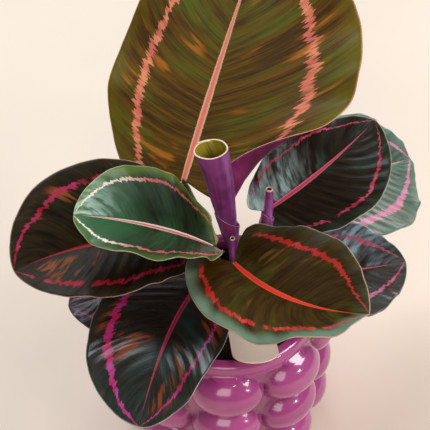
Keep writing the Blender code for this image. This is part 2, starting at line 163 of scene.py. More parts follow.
class CalatheaStageSettings(bpy.types.PropertyGroup):
    """The floor and the lights."""

    floor: colour_setting("Floor", "Colour of the floor", (0.80, 0.66, 0.54))
    sky: FloatProperty(
        name="Sky", description="Strength of the even light from all round",
        default=0.20, min=0.0, max=5.0)
    window: FloatProperty(
        name="Window", description="Strength of the window lights", default=1.0,
        min=0.0, max=10.0)


# ----------------------------------------------------------------- the leaves
LEAF_DEFAULTS = dict(
    turn=0.0, rise=0.0, roll=0.0, twist=0.0, left_ratio=1.0, fold=(6.0, 6.0),
    curl=(0.0, 0.0), lobe_curl=(0.0, 0.0), lobe=0.10, lobe_start=0.0, middle=0.46,
    tip_power=1.35, shoulder=28.0, wave=0.0008, waves=3.5, stem_radius=0.0013,
    stem_bow=(0.0, 0.0, 0.0), ribbing=1.0)


class Leaf:
    """Design values of one leaf; lengths in metres, angles in degrees.

    heading is clockwise from +Y, pitch is up from level; turn, rise and twist
    are their changes from the base to the tip.  fold and curl lift the right
    and left halves, lobe_curl lifts the two lobes beside the stalk.
    """

    def __init__(self, name, base, heading, pitch, length, half_width, foot, **extra):
        self.name, self.base, self.foot = name, base, foot
        self.heading, self.pitch = heading, pitch
        self.length, self.half_width = length, half_width
        for key, value in {**LEAF_DEFAULTS, **extra}.items():
            setattr(self, key, value)
        self.right_lobe = extra.get("right_lobe", self.lobe)
        self.right_shoulder = extra.get("right_shoulder", self.shoulder)

    @property
    def seed(self):
        """A number that differs from leaf to leaf, for its noise."""
        return sum(ord(letter) for letter in self.name) % 97 + 0.5


LEAVES = [
    Leaf("leaf_back_large", (-0.022, 0.036, 0.136), 20, 35, 0.140, 0.074, (-0.001, 0.013),
         turn=5, rise=5, roll=10, twist=-5, left_ratio=0.80, fold=(5, 0), curl=(-5, 0),
         lobe_curl=(280, 0), lobe_start=0.023, lobe=0.05, right_lobe=0.04, middle=0.44,
         tip_power=1.2, shoulder=22, right_shoulder=48, wave=0.0015, stem_radius=0.0018,
         stem_bow=(0.000, 0.010, 0.0), ribbing=0.45),
    Leaf("leaf_right_upper", (0.019, 0.024, 0.126), 55, 10, 0.075, 0.035, (0.007, 0.012),
         turn=-5, rise=15, roll=-5, twist=-5, left_ratio=0.80, fold=(5, -5), lobe=0.04,
         shoulder=20, wave=0.0010),
    Leaf("leaf_right_far", (0.048, 0.048, 0.106), 40, -5, 0.090, 0.038, (0.012, 0.018),
         turn=10, rise=-15, roll=-15, twist=-20, fold=(5, 10), wave=0.0015,
         stem_bow=(-0.006, -0.003, 0.012)),
    Leaf("leaf_right_low", (0.028, 0.000, 0.110), 90, -10, 0.060, 0.030, (0.014, -0.001),
         turn=-10, rise=20, twist=-10, fold=(5, 5), curl=(0, -5), tip_power=1.3,
         wave=0.0010, lobe=0.06),
    Leaf("leaf_front_right", (0.003, -0.015, 0.130), 150, 10, 0.080, 0.034, (0.005, -0.006),
         turn=-30, rise=20, roll=-5, fold=(20, 20), curl=(-15, 0), lobe_curl=(5, 10),
         lobe=0.15, tip_power=1.3, shoulder=25, wave=0.0014, stem_bow=(0.005, 0.0, 0.0),
         ribbing=0.4),
    Leaf("leaf_front_drooping", (-0.010, -0.005, 0.111), -155, 20, 0.087, 0.038, (-0.004, -0.005),
         turn=-10, rise=-55, roll=-10, left_ratio=0.70, fold=(5, 5), curl=(0, -5),
         lobe_curl=(-15, 0), lobe=0.02, shoulder=15, tip_power=1.1, wave=0.0010),
    Leaf("leaf_left_young", (-0.007, -0.005, 0.131), -95, 35, 0.067, 0.031, (-0.002, -0.001),
         turn=5, rise=-30, roll=-10, twist=25, left_ratio=0.95, fold=(15, 20), lobe=0.01,
         tip_power=1.15, shoulder=15, wave=0.0010, stem_bow=(0.001, 0.004, 0.0), ribbing=0.45),
    Leaf("leaf_left_back", (-0.017, 0.007, 0.125), -100, 15, 0.086, 0.042, (-0.009, 0.005),
         turn=-15, rise=-25, twist=10, left_ratio=0.80, fold=(20, 5), curl=(5, 0),
         lobe=0.03, shoulder=20, tip_power=1.2, wave=0.0012, ribbing=0.7),
    Leaf("leaf_left_low", (-0.021, -0.002, 0.103), -100, 0, 0.058, 0.025, (-0.010, -0.003),
         rise=-15, roll=10, fold=(5, 5), curl=(-5, -5), wave=0.0008),
]

# Colours are linear.  ground and light are the two tones of a blade, green a tint
# with its share, streak the blotches along the side veins with their share.  ring
# and ring_end are the two tones of the ring, with its place and half width; rib and
# rib_side are the midrib and its paler sides, edge the tint near the margin with its
# share, and rim the line round it.  A few leaves also set a painted sheen (half,
# colour, share, and where along the blade it starts and is full): pale stripes on
# one half that stand in for a reflection of the window light.  Some also set
# edge_sides and ring_sides (the right and the left half), ring_shift and tip_green
# (towards the tip).
LOOKS = {
    # olive-brown blade; its tones are also raised as a painted glow of light shining through it
    # from behind
    "leaf_back_large": dict(
        slot="olive_leaf", ground=(0.046, 0.018, 0.0006), light=(0.135, 0.062, 0.002),
        green=(0.080, 0.098, 0.006), green_share=0.50, streak=(0.38, 0.12, 0.008),
        streak_share=0.35, ring=(0.68, 0.15, 0.11), ring_end=(0.76, 0.28, 0.13),
        ring_at=0.62, ring_half=0.030, rib=(0.72, 0.17, 0.12), rib_side=(0.66, 0.40, 0.24),
        rib_half=0.027, edge=(0.15, 0.12, 0.008), edge_share=0.45, rim=(0.75, 0.36, 0.17),
        rough=0.55, shine=0.12),
    # its painted sheen lies on the left half, towards the base
    "leaf_right_upper": dict(
        slot="dark_leaf", ground=(0.008, 0.005, 0.002), light=(0.028, 0.022, 0.010),
        green=(0.02, 0.050, 0.030), green_share=0.30, streak=(0.16, 0.05, 0.02),
        streak_share=0.15, ring=(0.50, 0.02, 0.07), ring_end=(0.62, 0.10, 0.18),
        ring_at=0.74, ring_half=0.020, rib=(0.62, 0.06, 0.13), rib_side=(0.68, 0.18, 0.24),
        rib_half=0.042, edge=(0.03, 0.05, 0.03), edge_share=0.3, rim=(0.70, 0.62, 0.46),
        rough=0.32, shine=0.22, bloom=(-1.0, (0.42, 0.60, 0.56), 0.95, 0.60, 0.12)),
    "leaf_right_far": dict(
        slot="dark_leaf", ground=(0.030, 0.060, 0.042), light=(0.10, 0.16, 0.12),
        green=(0.07, 0.15, 0.10), green_share=0.5, streak=(0.20, 0.16, 0.10),
        streak_share=0.10, ring=(0.58, 0.16, 0.30), ring_end=(0.62, 0.25, 0.36),
        ring_at=0.62, ring_half=0.045, rib=(0.60, 0.22, 0.32), rib_side=(0.45, 0.35, 0.30),
        rib_half=0.04, edge=(0.16, 0.24, 0.18), edge_share=0.5, rim=(0.62, 0.66, 0.55),
        rough=0.34),
    # its painted sheen covers the left half, fading out before the tip
    "leaf_right_low": dict(
        slot="dark_leaf", ground=(0.022, 0.010, 0.007), light=(0.055, 0.050, 0.042),
        green=(0.05, 0.075, 0.065), green_share=0.3, streak=(0.22, 0.07, 0.03),
        streak_share=0.2, ring=(0.55, 0.05, 0.12), ring_end=(0.62, 0.18, 0.30),
        ring_at=0.64, ring_half=0.034, rib=(0.66, 0.07, 0.15), rib_side=(0.55, 0.12, 0.16),
        rib_half=0.03, edge=(0.06, 0.08, 0.07), edge_share=0.3, rim=(0.62, 0.50, 0.42),
        rough=0.30, shine=0.45, bloom=(-1.0, (0.34, 0.46, 0.52), 1.0, 0.98, 0.50)),
    # olive-brown blade; its tones are also raised as a painted glow of light shining through it
    # from behind
    "leaf_front_right": dict(
        slot="olive_leaf", ground=(0.024, 0.010, 0.0005), light=(0.056, 0.026, 0.0012),
        green=(0.055, 0.048, 0.004), green_share=0.25, streak=(0.12, 0.06, 0.008),
        streak_share=0.15, ring=(0.50, 0.018, 0.016), ring_end=(0.52, 0.05, 0.04),
        ring_at=0.68, ring_half=0.030, rib=(0.72, 0.03, 0.02), rib_side=(0.70, 0.09, 0.04),
        # the pale green tint on its right margin is partly a painted gloss where that margin
        # curls down
        rib_half=0.038, edge=(0.14, 0.22, 0.14), edge_share=0.85, edge_sides=(1.0, 0.15),
        rim=(0.66, 0.42, 0.28), rough=0.48, shine=0.08),
    "leaf_front_drooping": dict(
        slot="dark_leaf", ground=(0.009, 0.007, 0.004), light=(0.024, 0.022, 0.014),
        green=(0.010, 0.040, 0.036), green_share=0.42, streak=(0.24, 0.05, 0.012),
        streak_share=0.42, ring=(0.50, 0.010, 0.11), ring_end=(0.46, 0.07, 0.34),
        ring_at=0.68, ring_half=0.034, rib=(0.40, 0.010, 0.06), rib_side=(0.38, 0.06, 0.10),
        rib_half=0.034, edge=(0.03, 0.035, 0.025), edge_share=0.3, rim=(0.66, 0.62, 0.52),
        rough=0.29, shine=0.42, ring_sides=(1.30, 0.55)),
    # its painted sheen lies on the right half, towards the tip
    "leaf_left_young": dict(
        slot="young_leaf", ground=(0.008, 0.010, 0.003), light=(0.018, 0.034, 0.012),
        green=(0.022, 0.090, 0.030), green_share=0.55, streak=(0.10, 0.12, 0.03),
        streak_share=0.10, ring=(0.55, 0.10, 0.10), ring_end=(0.80, 0.72, 0.58),
        ring_at=0.74, ring_half=0.026, rib=(0.62, 0.13, 0.13), rib_side=(0.78, 0.74, 0.60),
        rib_half=0.045, edge=(0.14, 0.22, 0.03), edge_share=0.6, rim=(0.60, 0.55, 0.30),
        rough=0.36, shine=0.22, tip_green=0.95, edge_sides=(1.0, 0.5), ring_shift=(0.45, 0.75),
        bloom=(1.0, (0.52, 0.68, 0.58), 0.75, 0.55, 0.95)),
    "leaf_left_back": dict(
        slot="dark_leaf", ground=(0.008, 0.0045, 0.0015), light=(0.032, 0.017, 0.005),
        green=(0.022, 0.024, 0.008), green_share=0.2, streak=(0.26, 0.065, 0.015),
        streak_share=0.42, ring=(0.36, 0.008, 0.025), ring_end=(0.40, 0.03, 0.10),
        ring_at=0.72, ring_half=0.032, rib=(0.42, 0.010, 0.018), rib_side=(0.22, 0.02, 0.015),
        rib_half=0.034, edge=(0.035, 0.030, 0.018), edge_share=0.35, rim=(0.62, 0.38, 0.28),
        rough=0.46, shine=0.08),
    "leaf_left_low": dict(
        slot="dark_leaf", ground=(0.012, 0.006, 0.010), light=(0.030, 0.018, 0.026),
        green=(0.025, 0.03, 0.03), green_share=0.2, streak=(0.12, 0.03, 0.03),
        streak_share=0.3, ring=(0.34, 0.02, 0.08), ring_end=(0.34, 0.04, 0.12),
        ring_at=0.66, ring_half=0.03, rib=(0.36, 0.02, 0.05), rib_side=(0.25, 0.03, 0.05),
        rib_half=0.035, edge=(0.04, 0.03, 0.04), edge_share=0.3, rim=(0.45, 0.30, 0.28),
        rough=0.36),
}


def flat_point(leaf, along, across):
    """A point of the blade laid flat: x along the midrib, y across it."""
    start = math.radians(leaf.shoulder if across < 0 else leaf.right_shoulder)
    lobe = leaf.lobe if across < 0 else leaf.right_lobe
    theta = start + (math.pi - start) * along ** 0.92
    if theta < math.pi / 2:
        reach = (leaf.middle + lobe) * math.cos(theta) / math.cos(start)
        edge_x = leaf.middle - reach
        edge_y = math.sin(theta) ** 0.9
    else:
        edge_x = leaf.middle - (1.0 - leaf.middle) * math.cos(theta)
        edge_y = max(math.sin(theta), 0.0) ** leaf.tip_power
    width = leaf.half_width * (leaf.left_ratio if across < 0 else 1.0)
    edge_x *= leaf.length
    edge_y *= width
    rib_x = (0.94 * along + 0.06 * along * along) * leaf.length
    bow_x = (rib_x + (edge_x - rib_x) * VEIN_BOW
             - 0.10 * leaf.length * (1.0 - along) ** 6)
    bow_y = 0.62 * edge_y
    t = abs(across)
    x = (1 - t) ** 2 * rib_x + 2 * t * (1 - t) * bow_x + t * t * edge_x
    y = 2 * t * (1 - t) * bow_y + t * t * edge_y
    return x, math.copysign(y, across)


def leaf_frame(leaf, s):
    """Tangent, side and upper normal of the midrib at a share s of its length."""
    h = math.radians(leaf.heading + leaf.turn * s)
    p = math.radians(leaf.pitch + leaf.rise * s)
    r = math.radians(leaf.roll + leaf.twist * s)
    tangent = Vector((math.sin(h) * math.cos(p), math.cos(h) * math.cos(p), math.sin(p)))
    level = Vector((math.cos(h), -math.sin(h), 0.0))
    upright = level.cross(tangent)
    side = level * math.cos(r) + upright * math.sin(r)
    normal = upright * math.cos(r) - level * math.sin(r)
    return tangent, side, normal


def midrib_point(leaf, s):
    """A point of the midrib at a share s of its length."""
    spot = Vector(leaf.base)
    steps = 24
    for index in range(steps):
        tangent = leaf_frame(leaf, s * (index + 0.5) / steps)[0]
        spot += tangent * leaf.length * s / steps
    return spot


def ridge(leaf, settings, along, across):
    """Height of the ribs that follow the side veins, and of the groove over the midrib."""
    t = abs(across)
    hand = 0.37 if across < 0 else 0.0
    count = leaf.length / settings.ridge_pitch
    drift = noise.noise(Vector((along * 6.0, 3.0 * hand, leaf.seed)))
    swell = 0.75 + 0.5 * noise.noise(Vector((along * 9.0, across * 2.0, leaf.seed + 7)))
    rise = min(t / 0.28, 1.0) ** 1.5 * (1.0 - 0.45 * t ** 3) * (1.0 - along ** 5)
    vein = along - VEIN_SWEEP * t
    wave = math.cos(2.0 * math.pi * (count * vein + hand + 0.5 * drift))
    fine = math.cos(2.0 * math.pi * (count * 3.0 * vein + 2.0 * drift)) * 0.16
    groove = -0.00045 * math.exp(-(t / 0.05) ** 2) * (1.0 - 0.7 * along)
    depth = settings.ridge_height * leaf.ribbing
    return depth * swell * rise * (wave + fine) + groove


def leaf_point(leaf, settings, along, across):
    """A point of the finished blade's upper face."""
    x, y = flat_point(leaf, along, across)
    s = x / leaf.length
    _tangent, side, normal = leaf_frame(leaf, s)
    hand = 0 if across >= 0 else 1
    near_base = min(max(1.0 - 2.2 * s, 0.0), 1.3) ** 2
    fold = math.radians(leaf.fold[hand])
    reach = abs(y)
    out = lift = 0.0
    curl = leaf.curl[hand]
    for rate, span in ((curl, min(reach, leaf.lobe_start)),
                       (curl + leaf.lobe_curl[hand] * near_base, reach - leaf.lobe_start)):
        if span > 0.0:
            bend = math.radians(rate) / leaf.half_width
            if abs(bend) < 1e-4:
                bend = 1e-4
            out += (math.sin(fold + bend * span) - math.sin(fold)) / bend
            lift += (math.cos(fold) - math.cos(fold + bend * span)) / bend
            fold += bend * span
    ripple = math.sin(2.0 * math.pi * leaf.waves * along + 1.7 * hand)
    raised = leaf.wave * abs(across) ** 3 * ripple * (1.0 - along ** 4)
    crinkle = noise.noise(Vector((along * 15.0, 5.0 * hand, leaf.seed + 31)))
    raised += 1.6 * leaf.wave * abs(across) ** 5 * crinkle * (1.0 - along ** 6)
    raised += ridge(leaf, settings, along, across)
    out -= raised * math.sin(fold)
    lift += raised * math.cos(fold)
    return midrib_point(leaf, s) + side * math.copysign(out, y) + normal * lift


# ------------------------------------------------------------ shader helpers
def dimmed(colour, share):
    """A share of a colour."""
    return tuple(c * share for c in colour)


class Wire:
    """A value in a shader tree; arithmetic on it adds Math nodes."""

    def __init__(self, paint, socket):
        self.paint = paint
        self.socket = socket

    def math(self, operation, *values):
        return self.paint.node("Math", {"operation": operation},
                               **{str(i): v for i, v in enumerate((self, *values))})

    def __add__(self, other):
        return self.math("ADD", other)

    def __radd__(self, other):
        return self.paint.math("ADD", other, self)

    def __sub__(self, other):
        return self.math("SUBTRACT", other)

    def __rsub__(self, other):
        return self.paint.math("SUBTRACT", other, self)

    def __mul__(self, other):
        return self.math("MULTIPLY", other)

    def __rmul__(self, other):
        return self.paint.math("MULTIPLY", other, self)

    def __abs__(self):
        return self.math("ABSOLUTE")

    def ramp(self, low, high):
        """0 at low and 1 at high, smoothly; low may be above high."""
        flip = low > high if not isinstance(high, Wire) else False
        a, b = (high, low) if flip else (low, high)
        out = self.paint.node("MapRange", {"interpolation_type": "SMOOTHSTEP"},
                              **{"Value": self, "From Min": a, "From Max": b})
        return 1 - out if flip else out


class Paint:
    """A material with one Principled shader, and the nodes that feed it."""

    def __init__(self, name):
        self.material = bpy.data.materials.new(name)
        self.material.use_nodes = True
        self.tree = self.material.node_tree
        self.tree.nodes.clear()
        self.out = self.tree.nodes.new("ShaderNodeOutputMaterial")
        self.skin = self.tree.nodes.new("ShaderNodeBsdfPrincipled")
        self.tree.links.new(self.skin.outputs[0], self.out.inputs[0])

    def put(self, socket, value):
        """Give a socket a link or a value."""
        if isinstance(value, Wire):
            self.tree.links.new(value.socket, socket)
        elif socket.type == "RGBA":
            socket.default_value = (*value[:3], 1.0)
        else:
            socket.default_value = value

    def node(self, kind, settings=None, result=0, **sockets):
        """Any node: its settings first, then the values or links of its sockets."""
        made = self.tree.nodes.new("ShaderNode" + kind)
        for key, value in (settings or {}).items():
            setattr(made, key, value)
        for key, value in sockets.items():
            place = int(key) if key.isdigit() else key
            self.put(made.inputs[place], value)
        return Wire(self, made.outputs[result])

    def math(self, operation, first, second):
        return self.node("Math", {"operation": operation}, **{"0": first, "1": second})

    def mix(self, share, first, second):
        """Two colours mixed."""
        made = self.tree.nodes.new("ShaderNodeMix")
        made.data_type = "RGBA"
        self.put(made.inputs[0], share)
        self.put(made.inputs[6], first)
        self.put(made.inputs[7], second)
        return Wire(self, made.outputs[2])

    def combine(self, x, y, z):
        return self.node("CombineXYZ", X=x, Y=y, Z=z)

    def place(self):
        """Where a point lies on its piece, in metres."""
        return self.node("TexCoord", result="Object")

    def sheet(self, map_name="sheet"):
        """The two directions of a UV map."""
        first = self.node("SeparateXYZ", Vector=self.node("UVMap", {"uv_map": map_name}))
        return first, Wire(self, first.socket.node.outputs[1])

    def told(self, name, result="Fac"):
        """A value that is written on the points of the mesh."""
        return self.node("Attribute", {"attribute_name": name}, result=result)

    def noise(self, where, scale, detail=3.0, rough=0.5):
        """Noise from 0 to 1."""
        return self.node("TexNoise", {"noise_dimensions": "3D"}, Vector=where,
                         Scale=scale, Detail=detail, Roughness=rough)

    def bump(self, height, distance, strength=1.0):
        return self.node("Bump", Height=height, Distance=distance, Strength=strength)

    def finish(self, colour, rough, normal=None, **uniform):
        """Feed the shader, set what is the same all over, and return the material."""
        self.put(self.skin.inputs["Base Color"], colour)
        self.put(self.skin.inputs["Roughness"], rough)
        if normal is not None:
            self.put(self.skin.inputs["Normal"], normal)
        for key, value in uniform.items():
            self.put(self.skin.inputs[key.replace("_", " ")], value)
        return self.material


# ---------------------------------------------------------- modelling helpers
def start_piece():
    """Object mode, with nothing selected."""
    if bpy.context.object and bpy.context.object.mode != "OBJECT":
        bpy.ops.object.mode_set(mode="OBJECT")
    bpy.ops.object.select_all(action="DESELECT")


def only(piece):
    """Make a piece the one selected, active object."""
    start_piece()
    piece.select_set(True)
    bpy.context.view_layer.objects.active = piece


def grid_sheet(name, columns, rows, place, map_name="sheet", wrap=False):
    """A grid bent to place(u, v); u and v are kept as its UV map."""
    start_piece()
    bpy.ops.mesh.primitive_grid_add(x_subdivisions=columns, y_subdivisions=rows, size=2,
                                    location=(0, 0, 0))
    piece = bpy.context.object
    piece.name = piece.data.name = name
    mesh = piece.data
    mesh.uv_layers[0].name = map_name
    points = np.empty(len(mesh.vertices) * 3)
    mesh.vertices.foreach_get("co", points)
    points = points.reshape(-1, 3)
    shaped = [place((x + 1) / 2, (y + 1) / 2) for x, y, _z in points]
    mesh.vertices.foreach_set("co", np.array([tuple(p) for p in shaped]).ravel())
    mesh.update()
    if wrap:
        merge(piece)
    return piece


def edit_all(piece):
    """Edit mode, with the whole piece selected."""
    only(piece)
    bpy.ops.object.mode_set(mode="EDIT")
    bpy.ops.mesh.select_all(action="SELECT")


def merge(piece):
    """Join vertices that lie on each other."""
    edit_all(piece)
    bpy.ops.mesh.remove_doubles(threshold=MERGE_DISTANCE)
    bpy.ops.object.mode_set(mode="OBJECT")


def face_outwards(piece):
    """Turn every face of a closed piece outwards."""
    edit_all(piece)
    bpy.ops.mesh.normals_make_consistent(inside=False)
    bpy.ops.object.mode_set(mode="OBJECT")


def join(pieces):
    """Make several pieces one, and return it."""
    start_piece()
    for piece in pieces:
        piece.select_set(True)
    bpy.context.view_layer.objects.active = pieces[0]
    bpy.ops.object.join()
    return bpy.context.object


def apply_modifiers(piece):
    """Apply every modifier of a piece, in order."""
    only(piece)
    for modifier in list(piece.modifiers):
        bpy.ops.object.modifier_apply(modifier=modifier.name)


def thicken(piece, thickness, groups=None):
    """Give a sheet its thickness; the second and third slots go inside and on the rim."""
    shell = piece.modifiers.new("thickness", "SOLIDIFY")
    shell.thickness = thickness
    shell.offset = -1.0
    shell.use_rim = True
    shell.use_quality_normals = True
    shell.material_offset = 1
    shell.material_offset_rim = 2
    if groups:
        shell.vertex_group = groups
    apply_modifiers(piece)


def smooth(piece, angle=None):
    """Shade a piece smooth, with hard edges over an angle if one is given."""
    only(piece)
    if angle is None:
        bpy.ops.object.shade_smooth()
    else:
        bpy.ops.object.shade_smooth_by_angle(angle=math.radians(angle))


def settle(piece, slot, *nodes):
    """Put a finished piece on the model's body, in place of its CAD nodes."""
    only(piece)
    bpy.ops.object.transform_apply(location=True, rotation=True, scale=True)
    if nodes:
        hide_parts(*nodes)
    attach(piece, "root")
    return piece


def smooth_path(points, count):
    """Points along a Catmull-Rom curve through the given points."""
    knots = [Vector(p) for p in points]
    knots.insert(0, knots[0] * 2 - knots[1])
    knots.append(knots[-1] * 2 - knots[-2])
    out = []
    for index in range(count):
        place = index / (count - 1) * (len(knots) - 3)
        span = min(int(place), len(knots) - 4)
        t = place - span
        a, b, c, d = knots[span:span + 4]
        out.append(0.5 * (2 * b + (c - a) * t + (2 * a - 5 * b + 4 * c - d) * t * t
                          + (3 * b - a - 3 * c + d) * t ** 3))
    return out


class Path:
    """A smooth centre line with a radius along it."""

    def __init__(self, points, radii, count=120):
        self.points = smooth_path(points, count)
        self.radii = radii

    def at(self, share):
        """Centre, axis, side and up vectors at a share of the length."""
        last = len(self.points) - 1
        spot = min(max(share, 0.0), 1.0) * last
        index = min(int(spot), last - 1)
        centre = self.points[index].lerp(self.points[index + 1], spot - index)
        ahead = self.points[min(index + 2, last)]
        axis = (ahead - self.points[max(index - 1, 0)]).normalized()
        side = Vector((1.0, 0.0, 0.0))
        side = (side - axis * side.dot(axis)).normalized()
        return centre, axis, side, axis.cross(side)

    def radius(self, share):
        spot = min(max(share, 0.0), 1.0) * (len(self.radii) - 1)
        index = min(int(spot), len(self.radii) - 2)
        part = spot - index
        part = part * part * (3 - 2 * part) * 0.5 + part * 0.5
        return self.radii[index] * (1.0 - part) + self.radii[index + 1] * part


def spin_profile(name, profile, steps):
    """A profile of (radius, height) points spun round the Z axis."""
    start_piece()
    bpy.ops.mesh.primitive_plane_add(size=0.01, location=(0, 0, 0))
    piece = bpy.context.object
    piece.name = piece.data.name = name
    bpy.ops.object.mode_set(mode="EDIT")
    bpy.ops.mesh.select_all(action="SELECT")
    bpy.ops.mesh.merge(type="CENTER")
    here = Vector((0.0, 0.0, 0.0))
    first = Vector((profile[0][0], 0.0, profile[0][1]))
    bpy.ops.transform.translate(value=first - here)
    here = first
    for radius, height in profile[1:]:
        there = Vector((radius, 0.0, height))
        bpy.ops.mesh.extrude_region_move(TRANSFORM_OT_translate={"value": there - here})
        here = there
    bpy.ops.mesh.select_all(action="SELECT")
    bpy.ops.mesh.spin(steps=steps, dupli=False, angle=2.0 * math.pi, center=(0, 0, 0),
                      axis=(0, 0, 1))
    bpy.ops.mesh.select_all(action="SELECT")
    bpy.ops.mesh.remove_doubles(threshold=MERGE_DISTANCE)
    bpy.ops.mesh.normals_make_consistent(inside=False)
    bpy.ops.object.mode_set(mode="OBJECT")
    return piece


# -------------------------------------------------------------- leaf materials
def leaf_top(name, look, leaf):
    """The patterned upper face of a blade."""
    paint = Paint(name)
    sideways, along = paint.sheet("blade")
    across = sideways * 2.0 - 1.0
    t = abs(across)
    ring_place = paint.told("ring")
    lie = paint.told("lie", "Vector")
    seed = leaf.seed
    count = leaf.length / VEIN_PITCH
    vein = along - VEIN_SWEEP * t

    def veined(wide, dense, offset, detail=1.0, rough=0.5):
        """Noise drawn out along the side veins."""
        where = paint.combine(across * wide, vein * (count * dense), seed + offset)
        return paint.noise(where, 1.0, detail, rough)

    # from broad to hair-fine
    broad = veined(1.1, 0.45, 0, 3.0, 0.6)
    streaky = veined(1.8, 1.7, 3, 4.0, 0.62)
    hairs = veined(3.0, 7.0, 5, 2.0)
    cloud = paint.noise(lie, 28.0, 3.0, 0.55)
    grain = paint.noise(lie, 900.0, 3.0, 0.6)

    tone = (streaky * 0.65 + hairs * 0.35).ramp(0.36, 0.66)
    skin = paint.mix(tone, look["ground"], look["light"])
    greener = (broad + cloud * 0.5 - 0.25).ramp(0.62 - 0.34 * look["green_share"], 0.72)
    greener = greener * (0.45 + 0.55 * tone)
    if look.get("tip_green"):
        toward = (along + (cloud - 0.5) * 0.5).ramp(0.42, 0.86)
        greener = paint.node("Math", {"operation": "MAXIMUM"},
                             **{"0": greener * 0.5, "1": toward * look["tip_green"]})
    skin = paint.mix(greener, skin, look["green"])

    # rusty blotches along the side veins, inside the ring and some way past it
    blotch = veined(1.5, 0.36, 11, 2.0)
    lines = veined(2.6, 2.6, 13, 3.0)
    reach = 0.64 - 0.22 * look["streak_share"]
    rust = (blotch * 0.72 + lines * 0.28).ramp(reach, reach + 0.08)
    rust = rust * lines.ramp(0.36, 0.56) * t.ramp(0.10, 0.22) * ring_place.ramp(0.97, 0.80)
    skin = paint.mix(rust * 0.9, skin, look["streak"])

    # tint towards the margin; on leaf_front_right it is partly a painted gloss on the curled
    # right margin
    margin = (ring_place + (broad - 0.5) * 0.25).ramp(0.80, 0.99)
    hand = across.ramp(-0.01, 0.01)
    on_right, on_left = look.get("edge_sides", (1.0, 1.0))
    margin = margin * (on_left + (on_right - on_left) * hand)
    skin = paint.mix(margin * look["edge_share"], skin, look["edge"])

    # painted sheen: pale stripes on one half that stand in for a reflection of the window light
    if look.get("bloom"):
        side, colour, share, low, high = look["bloom"]
        sheen_half_mask = (across * side).ramp(0.0, 0.10) * along.ramp(low, high)
        sheen_stripe = (0.15 + 0.85 * streaky.ramp(0.38, 0.60)) * broad.ramp(0.32, 0.56)
        skin = paint.mix(sheen_half_mask * sheen_stripe * share, skin, colour)

    # the feathered ring
    jag = veined(4.5, 3.1, 17, 3.0, 0.7)
    wander = paint.noise(paint.combine(across * 1.2, along * 3.2, seed + 19), 1.0, 1.0)
    weight = paint.noise(paint.combine(across * 1.0, along * 5.0, seed + 23), 1.0, 1.0)
    offset = abs(t - look["ring_at"] + (jag - 0.5) * 0.26 + (wander - 0.5) * 0.16)
    right, left = look.get("ring_sides", (1.0, 1.0))
    half = look["ring_half"] * (0.20 + 1.6 * weight) * (left + (right - left) * hand)
    ring = offset.ramp(half + 0.014, half - 0.004)
    breaks = veined(1.0, 0.8, 37)
    ring = ring * along.ramp(0.03, 0.10) * breaks.ramp(0.26, 0.36)
    pale = (streaky * 0.6 + cloud * 0.4).ramp(0.42, 0.62)
    if look.get("ring_shift"):
        pale = (along + (cloud - 0.5) * 0.3).ramp(*look["ring_shift"])
    ring_tint = paint.mix(pale, look["ring"], look["ring_end"])
    skin = paint.mix(ring * (0.80 + 0.2 * pale), skin, ring_tint)

    # the midrib and its paler sides, narrowing to the tip
    taper = look["rib_half"] * (1.06 - 0.80 * along)
    frayed = t + (hairs - 0.5) * 0.012
    side = frayed.ramp(taper + 0.006, taper - 0.002)
    core = frayed.ramp(taper * 0.72 + 0.002, taper * 0.42)
    fade = along.ramp(0.995, 0.86)
    skin = paint.mix(side * fade, skin, look["rib_side"])
    skin = paint.mix(core * fade, skin, look["rib"])

    # the thin pale line round the margin
    line = (ring_place + (grain - 0.5) * 0.01).ramp(0.988, 0.997)
    skin = paint.mix(line * (0.25 + 0.5 * cloud), skin, look["rim"])

    rough = look["rough"] + 0.10 * (streaky - 0.5) + 0.16 * (cloud - 0.5) + 0.05 * ring
    veins = veined(0.6, 9.0, 29)
    height = veins * 0.7 + grain * 0.2 + cloud * 0.3 - core * 0.4
    normal = paint.bump(height, 0.00022, 0.7)
    shine = look.get("shine", 0.5)
    return paint.finish(skin, rough, normal, Coat_Weight=0.12 * shine, Coat_Roughness=0.22,
                        Specular_IOR_Level=shine)


def leaf_underside(name, look, leaf, settings):
    """The plum-coloured underside of a blade."""
    paint = Paint(name)
    sideways, along = paint.sheet("blade")
    across = sideways * 2.0 - 1.0
    t = abs(across)
    lie = paint.told("lie", "Vector")
    count = leaf.length / VEIN_PITCH
    streaks = paint.noise(paint.combine(across * 1.4, along * (count * 2.2), leaf.seed), 1.0, 4.0)
    cloud = paint.noise(lie, 40.0, 3.0)
    deep = dimmed(settings.underside, 0.42)
    pale = (min(settings.underside[0] * 1.6, 1), settings.underside[1] * 2.6 + 0.02,
            min(settings.underside[2] * 1.8, 1))
    skin = paint.mix((streaks * 0.6 + cloud * 0.4).ramp(0.34, 0.62), deep, settings.underside)
    skin = paint.mix(streaks.ramp(0.60, 0.74) * 0.5, skin, pale)
    rib = t.ramp(0.055, 0.035)
    skin = paint.mix(rib * 0.75, skin, look["rib_side"])
    normal = paint.bump(streaks * 0.8 + cloud * 0.3, 0.0003, 0.6)
    return paint.finish(skin, 0.42 + 0.12 * (cloud - 0.5), normal)


def leaf_margin(name, look):
    """The pale cut of the margin."""
    paint = Paint(name)
    where = paint.place()
    fleck = paint.noise(where, 600.0, 2.0)
    skin = paint.mix(fleck.ramp(0.35, 0.7), dimmed(look["rim"], 0.7), look["rim"])
    return paint.finish(skin, 0.5 + 0.1 * (fleck - 0.5))


